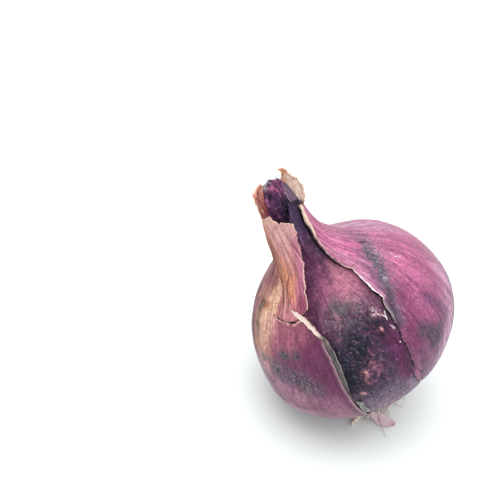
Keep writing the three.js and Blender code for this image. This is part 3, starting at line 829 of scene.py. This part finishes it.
def stub_finish():
    """The shrivelled stub: purple-magenta, with painted shade in navy in its creases and down its right
    side, painted light on its ridges, a grey-green cap, a small pit of painted shade and a pale fleck of
    painted highlight above it."""
    f = Finish("shrivelled stub")
    here = f.place()
    wavy = f.wander(here, 0.4, 0.7)
    mottle = f.noise(here, 0.6, 5.0, 0.68)
    specks = f.noise(here, 1.6, 4.0, 0.72)

    def near(point, reach, soft=0.6):
        """A round patch about a point of the upright onion, fading out beyond its reach."""
        away = f.length(f.vector("SUBTRACT", wavy, tuple(at_rest(np.array(point)).tolist())))
        return f.rise(away, reach * (1 + soft), reach * (1 - soft))

    f.base = colour("6c3a66")
    f.coat("90527a", (mottle, 0.36, 0.6))
    f.coat("8c4260", near((-1.6, -3.0, 96.6), 2.8), (mottle, 0.38, 0.54), 0.75)
    # Painted shade in the creases, and painted light on the ridges.
    f.coat("140c2a", (f.mark("crease"), -0.2, -0.9), 0.75)
    f.coat("885476", (f.mark("crease"), 0.55, 1.1), 0.4)
    f.coat("5c143c", near((0.3, 2, 95.6), 1.4), 0.9)
    # Painted shade in navy down the stub's right side, in the recess beside it.
    for point, reach in (
        ((0.2, -1.6, 92.4), 1.5), ((-0.5, -2.4, 90.6), 1.6), ((-1.2, -3.2, 88.6), 1.7), ((-2, -3.6, 86.4), 2),
    ):
        f.coat("0e0a2a", near(point, reach), 0.92)
    f.coat("848086", near((-4, -1.4, 98.4), 2.0), (mottle, 0.4, 0.52), 0.85)
    f.coat("141218", near((-3.4, -1.4, 98.6), 1.1), (mottle, 0.56, 0.44), 0.8)
    # A small pit of painted shade, with a painted highlight above it.
    f.coat("120e16", near((-4.3, -4.6, 94.9), 1.2, 0.5), 0.92)
    f.coat("baaca2", near((-4.2, -4.4, 96.2), 0.7), (specks, 0.44, 0.56), 0.85)
    f.shade((mottle, 0.3, 0.7), 0.4)
    f.shade((specks, 0.34, 0.66), 0.4)
    height = mottle * 0.8 + specks * 0.5
    return f.done(0.42 + specks * 0.2, height, 0.6, **DULL)


# ---- Skins and scales ----


def layer(start, end, foot, top, lift, columns, rows, edges, seed, crowd=0.0):
    """A thin layer. At the shares v up and u across, its place along is mixed between foot and top
    by v, and its longitude between start and end by u. The ends are places along by the share
    across, the sides longitudes by place along, and they wander by `edges` millimetres (start,
    end, foot, top). `lift` raises it, and `crowd` draws its columns towards both sides."""
    v, u = shares(rows, columns)
    u = u - crowd * np.sin(2 * np.pi * u) / (2 * np.pi)
    low, high = follow(foot, u), follow(top, u)
    middle = (low + high) / 2
    span = (follow(end, middle) - follow(start, middle)) * np.radians(radius_at(middle))
    low = low + torn(u * span, seed, edges[2])
    high = high + torn(u * span, seed + 1, edges[3])
    along = mix(low, high, v)
    degree = np.radians(np.maximum(radius_at(along), 1))
    first = follow(start, along) + torn(along, seed + 2, edges[0]) / degree
    last = follow(end, along) + torn(along, seed + 3, edges[1]) / degree
    longitude = mix(first, last, u)
    height = lift(u, along, longitude)
    marks = {
        "grain": grain_of(along, longitude), "start_rim": (longitude - first) * degree,
        "end_rim": (last - longitude) * degree, "top_rim": high - along, "foot_rim": along - low,
    }
    outer = at_rest(surface(along, longitude, height))
    inner = at_rest(surface(along, longitude, height - SKIN), SKIN)
    return two_faced(outer, inner, marks)


RIGHT_TEAR = [
    (8, 32), (26, 28), (33, 24.4), (38, 21.8), (43.5, 19.8), (47.4, 17.6), (49.4, 15.6), (53.2, 15.4),
    (57.8, 15.9), (61, 15.9), (64, 16.3), (66.8, 17.4), (70.4, 17.6), (74.5, 18.2), (78, 18.8), (78.8, 20.6),
    (83.3, 19.2), (88.3, 20), (92.8, 22.4), (96.3, 20.8), (100.4, 19.2), (105.6, 21.6), (110.2, 26),
    (115.1, 33.5), (119.8, 37.5), (123.4, 47), (126, 50),
]
LEFT_TEAR = [
    (8, 338), (34, 339.8), (45, 339.4), (52, 339), (58, 338.6), (64, 339.2), (69, 339.5), (73, 338.8),
    (75, 338.3), (77, 339.4), (82, 336), (85, 332), (88, 326), (93, 321), (101, 316), (111, 300), (119, 292),
    (123, 288),
]


def outer_skin():
    """The skin that wraps the bulb from the right of the tear round the back to the left of it. Its
    lift is a curl that dies away from each torn edge, a dip beside the left one, and fine folds."""

    def lift(_, along, longitude):
        degree = np.radians(radius_at(along))
        from_right = (longitude - follow(RIGHT_TEAR, along)) * degree
        from_left = (follow(LEFT_TEAR, along) - longitude) * degree
        right = mix(-0.28, 1.15, smooth(along, 66, 82)) * (1 - 0.4 * smooth(along, 112, 120))
        right = right - 0.8 * (1 - smooth(along, 41, 49))
        left = 0.2 + 0.9 * smooth(along, 38, 50)
        curl = right * np.exp(-from_right / 2.0) + left * np.exp(-from_left / 1.1)
        dip = -0.12 * bell(from_left, 3.4, 1.8)
        ribs = 0.07 * folds(along, longitude, (13, 21, 34, 47), 5)
        crumple = ribs + 0.05 * torn(along + longitude / 9, 8, 1)
        return (curl + dip) * smooth(along, 8, 30) + crumple * smooth(along, 12, 40) - 0.08

    top = [(0, 124.2), (0.05, 124), (0.12, 123), (0.3, 120), (0.6, 121), (1, 119)]
    return layer(
        RIGHT_TEAR, LEFT_TEAR, [(0, 8)], top, lift,
        columns=210, rows=205, edges=(0.22, 0.16, 0.3, 0.8), seed=11, crowd=0.82,
    )


# The neck wall's ragged top: place along by longitude.
NECK_TOP = [
    (0, 121.4), (9, 122), (14, 123.4), (18, 125.2), (23, 126.8), (29, 127.4), (36, 126.8), (50, 125.4),
    (70, 123.4), (90, 121.8), (350, 121), (360, 121.4),
]
NECK_FOOT = 112  # along
# The recess inside the neck: places along below its top, and depths below the bulb's surface.
RECESS_STEPS = [(-0.1, 0.5), (0.6, 1.0), (2.4, 1.5), (4.5, 2.4)]
RECESS_FLOOR = 116
RECESS_FLOOR_DEPTHS = (4.5, 7.2)
# There the ramp is near black: painted shade inside the neck.
RECESS_SHADE = 138  # the place along whose colour it takes
AXIS_DEPTH = 20  # more than the neck's radius, so that it ends on the axis


def bulb():
    """The bulb's skin to the ragged top of the neck, and the recess inside that: rings round the
    axis, at a depth below the outer skin, with fine folds. Low in the tear, where the skin is bare,
    it swells outwards."""
    longitude = np.linspace(0, 360, 300, endpoint=False)
    ragged = follow(NECK_TOP, longitude) + torn(longitude / 7, 31, 0.4, longest=5, shortest=0.8)
    lower = np.linspace(0.6, NECK_FOOT, 126)[:, None] + 0 * longitude
    upper = mix(NECK_FOOT, ragged, np.linspace(0, 1, 17)[1:, None])
    inside = [ragged - below for below, _ in RECESS_STEPS] + [0 * ragged + RECESS_FLOOR] * 2
    along = np.concatenate([lower, upper, inside])
    walls = len(lower) + len(upper)
    depth = np.full_like(along, -BULB_DEPTH)
    depth[walls:] -= np.array([*(depth for _, depth in RECESS_STEPS), *RECESS_FLOOR_DEPTHS])[:, None]
    ribs = 0.05 * folds(along, longitude, (19, 31, 43), 3) * smooth(along, 10, 40)
    neck = 0.16 * folds(along, longitude, (7, 11, 17, 23), 4) * smooth(along, 98, 110)
    depth[:walls] += (ribs + neck)[:walls]
    degree = np.radians(radius_at(along))
    side = np.where(longitude > 180, longitude - 360, longitude)
    from_right = (follow(RIGHT_TEAR, along) - side) * degree
    from_left = (side - follow(LEFT_TEAR, along) + 360) * degree
    bare = smooth(from_right, -0.6, 1.6) * smooth(from_left, 2.5, 6)
    depth += 0.44 * bare * (1 - smooth(along, 64, 76)) * smooth(along, 12, 24)
    shown = along.copy()
    shown[walls:] = RECESS_SHADE
    points = at_rest(surface(along, longitude, depth), BULB_DEPTH)
    root = at_rest(surface(0, 0, -BULB_DEPTH), BULB_DEPTH)
    recess = at_rest(surface(RECESS_FLOOR, 0, -AXIS_DEPTH))
    return ringed(points, root, recess, {"grain": grain_of(shown, longitude), "from_right": from_right})


def crumpled(points, seed, longest, shortest, count=16):
    """Crumpling at each point, about -1 to 1: sharp ridges along waves in random directions, the
    longer waves the higher."""
    rng = np.random.default_rng(seed)
    lengths = np.geomspace(longest, shortest, count)
    ways = unit(rng.normal(size=(count, 3)) * [1, 1, 0.7])
    phases = rng.uniform(0, np.pi, count)
    ridges = 1 - 2 * np.abs(np.sin(points @ (ways * np.pi / lengths[:, None]).T + phases))
    return (ridges * (lengths / longest) ** 0.8).sum(-1) / math.sqrt(count) * 1.1


def shrivelled(rings, seed, depth, columns=220, rows=140):
    """A shrivelled body: rings of (share, height, radius, x, y), crumpled to that depth. Its
    surface wanders most where it is widest."""
    turn = np.linspace(0, 2 * np.pi, columns, endpoint=False)
    share = np.linspace(0, 1, rows)[:, None]
    height, radius, x, y = (follow(rings, share, part) for part in (1, 2, 3, 4))
    plain = stacked(x + radius * np.sin(turn), y - radius * np.cos(turn), height)
    crease = crumpled(plain, seed, 5.5, 1.6) + 0.3 * crumpled(plain, seed + 1, 1.5, 0.4)
    out = stacked(np.sin(turn), -np.cos(turn), 0.9 * smooth(share, 0.55, 0.95))
    points = plain + out * (depth * crease * np.clip(radius / 2, 0, 1))[..., None]
    start, end = (at_rest(np.array([x, y, height])) for _, height, _, x, y in (rings[0], rings[-1]))
    return ringed(at_rest(points), start, end, {"crease": crease})


def stub():
    """The shrivelled stub in the neck, with a small dark shoot beside it."""
    main = [
        (0, 79, 3.4, -6, 0), (0.14, 82.5, 3.8, -5.9, -0.6), (0.28, 86, 4.1, -5.5, -0.9),
        (0.42, 89, 4.4, -4.9, -1), (0.56, 92, 4.35, -4.3, -0.8), (0.7, 94.8, 4.1, -3.7, -0.5),
        (0.82, 97, 3.4, -2.9, -0.2), (0.91, 98.4, 2.3, -2.2, 0), (0.97, 99, 1.1, -1.8, 0.1),
        (1, 99.1, 0.1, -1.7, 0.1),
    ]
    side = [
        (0, 88, 1.0, -0.6, 1.8), (0.3, 91, 1.2, -0.2, 2), (0.6, 94, 1.3, 0.2, 2.1),
        (0.85, 96.4, 0.9, 0.4, 2.1), (1, 97.6, 0.08, 0.5, 2.1),
    ]
    return [shrivelled(main, seed=21, depth=0.42), shrivelled(side, seed=25, depth=0.2, columns=80, rows=60)]


INNER_EDGE = [
    (50, -20.6), (54, -20.4), (57, -19.6), (61.5, -18.6), (66, -17.9), (70.4, -18), (74, -18.5),
    (76.8, -19.8),
]


def inner_skin_edge():
    """The skin below the outer one, which shows as a dull band along the left tear. It rises with
    the cube of the share across."""
    start = [(along, longitude - 360.6) for along, longitude in LEFT_TEAR]
    foot, top = [(0, 49)], [(0, 77.4), (1, 76.9)]
    return layer(
        start, INNER_EDGE, foot, top, lambda u, *_: -0.25 + 0.45 * u**3,
        columns=14, rows=90, edges=(0, 0.12, 0.3, 0.2), seed=41,
    )


def tear_flake():
    """A small stiff scrap below that band, which rises with the square of the share across."""
    start, end = [(38, -20), (48.6, -19.8)], [(38, -16.3), (48.6, -17)]
    foot, top = [(0, 37.6), (1, 38.6)], [(0, 48.4), (1, 47)]
    return layer(
        start, end, foot, top, lambda u, *_: 0.1 + 0.3 * u**2,
        columns=12, rows=40, edges=(0.1, 0.1, 0.1, 0.1), seed=45,
    )


def neck_strip():
    """A torn tongue of dry skin in front of the neck. Its lift is a sum of slanting sines across it,
    for long folds, with a right edge that rises and a left edge that sinks into the skin below."""
    left = [
        (86, -55), (90, -49), (97, -48), (101, -54), (106, -64), (111, -73), (117, -75), (122, -66),
        (128, -52),
    ]
    right = [
        (86, -24), (88.4, -23.2), (93.6, -22), (101.7, -17.6), (109.3, -8.4), (115.5, 1), (119, 5), (122, 11),
        (128, 14),
    ]
    foot = [(0, 87.2), (0.15, 86.6), (0.3, 85.6), (0.5, 84.9), (0.7, 85.2), (0.85, 86.6), (1, 88)]
    top = [
        (0, 127.8), (0.3, 127.6), (0.5, 125.4), (0.56, 124.9), (0.6, 123.4), (0.65, 124.6), (0.85, 122.6),
        (1, 121.2),
    ]

    def lift(u, along, _):
        sink = mix(0.5, 0.0, smooth(along, 98, 108)) * (1 - smooth(u, 0, 0.35))
        ridges = 0.22 * np.sin(9 * u + 0.06 * along) + 0.12 * np.sin(21 * u - 0.05 * along + 1)
        ridges = (ridges + 0.06 * np.sin(47 * u)) * smooth(along, 86, 92) * (0.4 + 0.6 * u)
        edge = 0.7 * np.exp(-(1 - u) * 14) + 0.25 * bell(along, 86, 1.2)
        return 0.75 + 0.5 * smooth(along, 98, 118) - sink + ridges + edge

    return layer(
        left, right, foot, top, lift,
        columns=90, rows=190, edges=(0.12, 0.24, 0.3, 0.4), seed=51, crowd=0.35,
    )


def cream_lip():
    """The skin's torn edge below the strip, rolled over so that its pale inside shows: a band mixed
    between two lines of (share, along, longitude), which rises with the square of the share
    across."""
    outer = [
        (0, 89.2, -38.4), (0.22, 87.6, -32), (0.42, 85.2, -27.2), (0.66, 81.7, -24), (0.88, 78.2, -21.2),
        (1, 76.7, -20),
    ]
    inner = [
        (0, 88.4, -37.6), (0.22, 85.6, -33), (0.42, 83.8, -29.6), (0.66, 80.6, -26.2), (0.88, 78.0, -23.6),
        (1, 76.4, -21.4),
    ]
    v, u = shares(120, 14)
    along, longitude = (mix(follow(inner, v, part), follow(outer, v, part), u) for part in (1, 2))
    along = along + torn(v * 20, 61, 0.22, 5, 0.7) * (1 - u) + torn(v * 20, 62, 0.25, 4, 0.7) * u
    height = 0.7 + 0.45 * u**2 + 0.5 * smooth(v, 0, 0.12)
    marks = {"grain": grain_of(along * 3, longitude * 3), "end_rim": (1 - u) * 2, "foot_rim": v}
    outside, inside = (at_rest(surface(along, longitude, lift)) for lift in (height, height - 0.4))
    return two_faced(outside, inside, marks)


def leaf(left, right, bow, columns, rows, edges, seed, ripple, thickness=0.35):
    """A dry leaf tip, mixed between two side lines of (share of its length, x, y, z) on the upright
    onion. It bows out from the neck's axis in a parabola of height `bow`, with sines for lengthwise
    ripples. Its sides wander by `edges`, and its inner face lies a thickness inside the outer one."""
    v, u = shares(rows, columns)
    first, last = (stacked(*(follow(line, v, part) for part in (1, 2, 3))) for line in (left, right))
    width = np.linalg.norm(last - first, axis=-1)
    length = np.linalg.norm(np.diff((first + last)[:, 0] / 2, axis=0), axis=1).sum()
    wander = mix(torn(v * length, seed, edges, 4, 0.5), torn(v * length, seed + 1, edges, 4, 0.5), u)
    points = mix(first, last, (u + wander / (width + 0.5))[..., None])
    out = unit(stacked(points[..., 0] + NECK_SHIFT, points[..., 1], 0.15 * width))
    crown = bow * 4 * u * (1 - u) * smooth(width, 0, 4)
    waves = np.sin(9 * u + 2 * v) + 0.5 * np.sin(23 * u - 3 * v + seed)
    points = points + out * (crown + ripple * waves * smooth(width, 0, 3))[..., None]
    marks = {
        "grain": stacked(u * width * 1.4 + seed, 0, v * length), "start_rim": u * width,
        "end_rim": (1 - u) * width, "top_rim": (1 - v) * length, "foot_rim": v * length,
    }
    return two_faced(at_rest(points), at_rest(points - out * thickness), marks)


def left_scale():
    """A stiff tan point beside the stub."""
    left = [
        (0, -12.1, -2.8, 85.5), (0.15, -11.3, -2.6, 87.7), (0.37, -10.8, -2, 90.8), (0.58, -10.3, -1.2, 93.8),
        (0.76, -10.1, -0.4, 96.6), (0.82, -9.8, 0, 97.4), (0.88, -8.7, 0.1, 97.9), (0.93, -7.5, 0.4, 98.4),
        (0.97, -6.7, 0.8, 99), (1, -5.8, 1.2, 99.1),
    ]
    right = [
        (0, -10.2, -5.2, 85.6), (0.15, -9.4, -5, 87.6), (0.3, -8.7, -4.8, 89.3), (0.45, -7.8, -4.2, 91.6),
        (0.62, -7, -3, 94.3), (0.8, -6.1, -1.6, 96.8), (0.93, -5.3, 0.1, 98.3), (1, -5.3, 1, 98.9),
    ]
    return leaf(left, right, bow=0.5, columns=36, rows=80, edges=0.16, seed=71, ripple=0.14)


def right_scale():
    """A cream scale that curls outwards behind the neck, with a hooked tip."""
    left = [
        (0, -2.5, 7.6, 80), (0.2, -1.5, 8, 84), (0.45, 0.4, 7.9, 89), (0.62, 1.6, 7.6, 92.6),
        (0.75, 2.3, 7.2, 94.9), (0.83, 3.2, 6.8, 95.9), (0.9, 3.7, 6.5, 96.9), (0.96, 3.3, 6.2, 98.2),
        (1, 2.7, 6, 98.5),
    ]
    right = [
        (0, 5, 0.4, 81), (0.16, 5.2, 1.5, 83.3), (0.3, 7, 2.5, 85.4), (0.45, 8.2, 4, 88.2),
        (0.62, 8, 5.5, 91.6), (0.75, 6.6, 6.4, 94), (0.83, 5.9, 6.6, 95.6), (0.9, 5.7, 6.5, 96.9),
        (0.96, 4.9, 6.2, 98.4), (1, 3.4, 6, 99),
    ]
    return leaf(left, right, bow=1.6, columns=56, rows=100, edges=0.2, seed=75, ripple=0.12)


def inner_scale():
    """A dull purple leaf tip that lies across the front of the right scale; its left part, behind the stub,
    is painted shade.
    """
    left = [
        (0, -0.4, -1.2, 84), (0.12, -0.9, -0.6, 86.2), (0.33, -1.4, 0.2, 88.8), (0.58, -1.4, 1.0, 91.6),
        (0.79, -0.9, 1.8, 94.2), (1, 0.7, 2.3, 96.9),
    ]
    right = [
        (0, 3.9, 1, 82.4), (0.12, 4.2, 1.8, 85), (0.33, 4, 2.4, 88), (0.58, 3.7, 2.8, 91.5),
        (0.79, 3, 3, 94.1), (1, 1.4, 2.6, 97),
    ]
    return leaf(left, right, bow=0.5, columns=40, rows=80, edges=0.14, seed=79, ripple=0.16, thickness=0.3)


# ---- Roots ----

PLATE_HEIGHT = -1.1
PLATE_MIDDLE = at_rest(np.array([-ROOT_SHIFT, 0, PLATE_HEIGHT]))


def tube(path, radii, sides=10, steps=40):
    """A root or a thread: a round section carried along a smooth line through points, tapering as
    radii say, with a slight irregular swelling. The section stays square to the line."""
    path = np.array(path, float)
    place = np.linspace(0, len(path) - 1, steps)
    line = smooth_line(path, place, 2 * path[0] - path[1], 2 * path[-1] - path[-2])
    way = unit(np.gradient(line, axis=0))
    side = unit(np.cross(way, [0.13, 0.21, 1.0]))
    up = np.cross(side, way)
    turn = np.linspace(0, 2 * np.pi, sides, endpoint=False)[None, :, None]
    radius = np.interp(place, np.arange(len(radii)), radii) * (1 + 0.12 * np.sin(place * 9))
    section = np.cos(turn) * side[:, None] + np.sin(turn) * up[:, None]
    rings = line[:, None] + radius[:, None, None] * section
    rings[..., 2] = np.maximum(rings[..., 2], 0.02)
    marks = {"grain": stacked(rings[..., 0] * 2, rings[..., 1] * 2, place[:, None] * 10)}
    return ringed(rings, line[0], line[-1], marks)


def whisker():
    """A thin lilac thread at the inner scale's tip."""
    line = np.array([(1.3, 2.6, 95.6), (1.4, 3, 96.4), (0.9, 3.6, 97.2), (0.9, 4, 98)])
    return tube(at_rest(line), [0.22, 0.18, 0.14, 0.08], sides=8, steps=16)


def root_plate():
    """The root plate: rings out from the middle of its underside, round its edge and back. Cosines
    round them make each ring's radius and height uneven."""
    turn = np.radians(np.linspace(0, 360, 64, endpoint=False))
    profile = np.array([
        (0.8, -1.4), (2.6, -1.5), (4.4, -1.2), (5.6, -0.8), (6.1, -0.2), (6.0, 0.4), (3, 0.4),
    ])
    out, rise = profile[:, :1], profile[:, 1:]
    radius = out * (1 + 0.06 * np.cos(5 * turn + 1) + 0.04 * np.cos(11 * turn))
    height = rise + 0.25 * np.cos(7 * turn) * np.cos(out * 1.7)
    points = stacked(radius * np.sin(turn) - ROOT_SHIFT, -radius * np.cos(turn), height)
    low, high = (at_rest(np.array([-ROOT_SHIFT, 0, height])) for height in (-1.4, 0.4))
    marks = {"grain": stacked(radius * np.cos(turn), radius * np.sin(turn), height) * 2}
    return ringed(at_rest(points, 0.1), low, high, marks)


# Each root's points from the plate's middle: to the right, towards the front, and height above the
# floor. The first is a stout one.
STOUT_ROOT = [(-3.5, 4, 3), (-6.5, 9.5, 1.9), (-8.6, 13.4, 1.3), (-10.6, 16, 1.1), (-12.3, 18.4, 0.95)]
THIN_ROOTS = [
    [(-1.5, 4, 3), (-3.8, 9, 1.8), (-5.6, 14, 0.9), (-6, 17.6, 0.4)],
    [(1.5, 5, 2.6), (2.0, 9, 1.5), (-1.6, 13.6, 0.9), (-5.2, 17.4, 0.35)],
    [(4.5, 3.5, 2.6), (5.0, 7, 1.4), (1.2, 12.4, 1.1), (-3, 16.2, 0.5)],
    [(0, 7, 2.6), (-1.2, 13, 1.2), (-0.4, 19.6, 0.9), (0.4, 24.2, 0.3)],
    [(2.6, 6, 2.4), (3.2, 9.6, 0.9), (3.4, 13, 0.35)],
    [(-1, 7, 2.8), (-3.4, 12, 1.6), (-6.4, 15.2, 0.8), (-7.4, 16.4, 0.5)],
    [(0.5, 6, 2.4), (-0.6, 11, 1.3), (-3.2, 17.6, 0.5)],
    [(5, 1, 2.4), (8, 2, 1.4), (10.6, 2.8, 0.6), (11, 4.6, 0.4)],
    [(3.4, 5, 2.2), (6.6, 7.4, 1), (9.6, 8.4, 0.35)],
    [(4, -3, 2), (6, -5.4, 0.9), (6.8, -7.4, 0.3)],
    [(-2, -3, 2.4), (-1, -6.4, 0.8), (-1.6, -8.4, 0.3)],
    [(0, 0, 2), (1.2, -1.2, 0.7), (2.4, -2.6, 0.3)],
    [(-3, 1, 2.6), (-5, 1.6, 1), (-6.6, 1.2, 0.3)],
]


def from_plate(points):
    """Points from the plate's middle set under the onion."""
    return np.array([PLATE_MIDDLE[0], PLATE_MIDDLE[1], 0]) + points * np.array([1, -1, 1])


def root_tuft():
    """The plate with its dry roots."""
    shells = [root_plate(), tube(from_plate(STOUT_ROOT), [0.6, 0.7, 0.75, 0.95, 0.75], sides=14)]
    for points in THIN_ROOTS:
        radii = [0.34, 0.26, 0.2, 0.1][: len(points) - 1] + [0.08]
        shells.append(tube(from_plate(points), radii))
    return shells


def base_flake():
    """A scrap of skin that lies under the root end: points to both sides of a middle line, as far as
    its half width, that rise with the square of the share out. The line is (share, right and
    towards the front from the plate's middle, height above the floor, half width)."""
    line = [
        (0, -2.4, 12, 1.3, 1.6), (0.25, -1.8, 14, 0.8, 2.8), (0.5, 0.2, 16.2, 0.45, 3.1),
        (0.75, 2.4, 17.4, 0.4, 2.3), (1, 4.8, 18.2, 0.5, 0.5),
    ]
    v, u = shares(49, 24)
    u = 2 * u - 1
    x, y, z, half = (follow(line, v, part) for part in (1, 2, 3, 4))
    middle = stacked(x, y, z)
    way = unit(np.gradient(middle[:, 0], axis=0))
    side = stacked(way[:, 1], -way[:, 0], 0)[:, None]
    points = middle + side * (u * half)[..., None]
    points[..., 2] += 0.35 * u**2 + 0.08 * np.sin(6 * u + 9 * v) + 0.12
    points = from_plate(points)
    marks = {"grain": stacked(u * 3, 0, v * 12), "end_rim": (1 - np.abs(u)) * half, "top_rim": (1 - v) * 10}
    return two_faced(points, points - np.array([0, 0, 0.1]), marks)


# ---- The onion ----

CREAM_END = ("end_rim", 0.9, 0.4, "ecceb8", 0.7)
CREAM_TOP = ("top_rim", 0.7, 0.3, "e8c4aa", 0.6)
# Of the dry skins: base colour, light and dark streaks, tints, and strength of the streaks.
DRY_SKINS = {
    "dull grey-green skin": ("5c585c", "7e7a76", "322e34", [
        ("end_rim", 0.45, 0.15, "b0aaa4", 0.7), ("top_rim", 5, 3, "92847c", 0.7)]),
    "stiff pale scrap": ("7e7e78", "a09e96", "504e4e", [
        ("end_rim", 0.5, 0.25, "bab4ae", 0.7)]),
    "torn cream edge": ("decac0", "f4e8de", "967e74", [
        ("end_rim", 0.3, 0.05, "96706e", 0.5), ("foot_rim", 0.88, 0.98, "686258", 0.85)], 0.8),
    "tan scale": ("de9e88", "f6ccb0", "682628", [
        ("end_rim", 2.6, 1.0, "6e3036", 0.7), ("foot_rim", 13, 6, "642834", 0.85),
        ("start_rim", 1.4, 0.5, "f0c4a8", 0.7), CREAM_TOP], 1.15),
    # The cream scale's near-black foot, down in the neck, is painted shade.
    "cream scale": ("debcaa", "f3ddcd", "8e645a", [
        ("top_rim", 5, 2.6, "dc8c70", 0.85), ("start_rim", 2.2, 0.5, "ce8a68", 0.7),
        ("foot_rim", 5, 3.6, "1e1022", 0.95), CREAM_END, CREAM_TOP], 0.9),
    # Its near black on the left side, behind the stub, and at its foot down in the neck is painted shade.
    "purple scale": ("503654", "80667e", "160c22", [
        ("end_rim", 1.2, 0.4, "545056", 0.7), ("top_rim", 4, 1.5, "9c5c92", 0.75),
        ("foot_rim", 3.4, 2.2, "100c24", 0.9), ("start_rim", 2.3, 2.0, "0e0a24", 0.96)], 1.15),
    "lilac thread": ("967892", "aa8ea4", "6e546e"),
    "dry root": ("d8c8bc", "f0e6da", "968076"),
    "thin pale skin": ("e2cad4", "f0e2e8", "c8a0b0", [
        ("end_rim", 0.5, 0.2, "c892aa", 0.6), ("top_rim", 2.4, 0.6, "c484a0", 0.7)], 0.6),
}
dry = {name: dry_skin_finish(name, *look) for name, look in DRY_SKINS.items()}

piece("onion_bulb", [bulb()], inner_skin_finish(), ["bulb"])
piece("onion_stub", stub(), stub_finish())
piece("onion_outer_skin", [outer_skin()], outer_skin_finish(), ["outer_skin"])
piece("onion_skin_edge", [inner_skin_edge()], dry["dull grey-green skin"], ["inner_skin_edge"])
piece("onion_tear_flake", [tear_flake()], dry["stiff pale scrap"], ["tear_flake"])
piece("onion_neck_strip", [neck_strip()], strip_finish(), ["neck_strip"])
piece("onion_torn_lip", [cream_lip()], dry["torn cream edge"])
piece("onion_left_scale", [left_scale()], dry["tan scale"], ["neck_scale_left"])
piece("onion_right_scale", [right_scale()], dry["cream scale"], ["neck_scale_right"])
piece("onion_inner_scale", [inner_scale()], dry["purple scale"], ["neck_scale_inner"])
piece("onion_whisker", [whisker()], dry["lilac thread"])
piece("onion_roots", root_tuft(), dry["dry root"], ["root_tuft"])
piece("onion_base_flake", [base_flake()], dry["thin pale skin"], ["base_flake"])

# ---- Floor, light and camera ----

FLOOR_HALF = 4  # metres
LIGHT_TARGET = (0, 0, 0.03)
CAMERA_PLACE = (-0.04303, -0.25048, 0.24836)
CAMERA_TILT = 55  # degrees up from straight down
LENS, SENSOR = 62.25, 36  # millimetres


def linked(name, data, place=(0, 0, 0), turn=(0, 0, 0)):
    """An object of the collection, with its data, place and angles."""
    made = bpy.data.objects.new(name, data)
    made.location = place
    made.rotation_euler = turn
    bpy.context.collection.objects.link(made)
    return made


def floor():
    """A wide plain floor with the onion in the middle."""
    f = Finish("pale floor")
    grey = f.noise(f.place(), 0.004, 2.0)
    f.base = colour("dee4e3")
    f.coat("e0e6e5", grey)
    f.coat("fcfefe", (f.length(f.place()), 600, 1800))
    mesh = bpy.data.meshes.new("floor")
    corners = [(x * FLOOR_HALF, y * FLOOR_HALF, 0) for x, y in ((-1, -1), (1, -1), (1, 1), (-1, 1))]
    mesh.from_pydata(corners, [], [(0, 1, 2, 3)])
    mesh.materials.append(f.done(0.6, grey, 0.01, **{"Specular IOR Level": 0.2}))
    linked("floor", mesh)


def softbox(name, place, size, power):
    """A square soft light that faces the onion."""
    light = bpy.data.lights.new(name, "AREA")
    light.size = size
    light.energy = power
    x, y, z = np.array(place) - np.array(LIGHT_TARGET)
    linked(name, light, place, (math.atan2(math.hypot(x, y), z), 0, math.atan2(x, -y)))


def studio():
    """A white surround, the floor, a light above and one in front, and the camera."""
    world = bpy.data.worlds.new("studio")
    world.use_nodes = True
    world.node_tree.nodes["Background"].inputs["Color"].default_value = (1, 1, 1, 1)
    world.node_tree.nodes["Background"].inputs["Strength"].default_value = 1.0
    bpy.context.scene.world = world
    bpy.context.scene.view_settings.view_transform = "Standard"
    floor()
    softbox("top light", (0.08, 0.12, 1.1), size=1.5, power=15.5)
    softbox("front light", (0.05, -1.1, 0.5), size=1.0, power=3.4)
    camera = bpy.data.cameras.new("camera")
    camera.lens = LENS
    camera.sensor_width = SENSOR
    bpy.context.scene.camera = linked("camera", camera, CAMERA_PLACE, (math.radians(CAMERA_TILT), 0, 0))


studio()
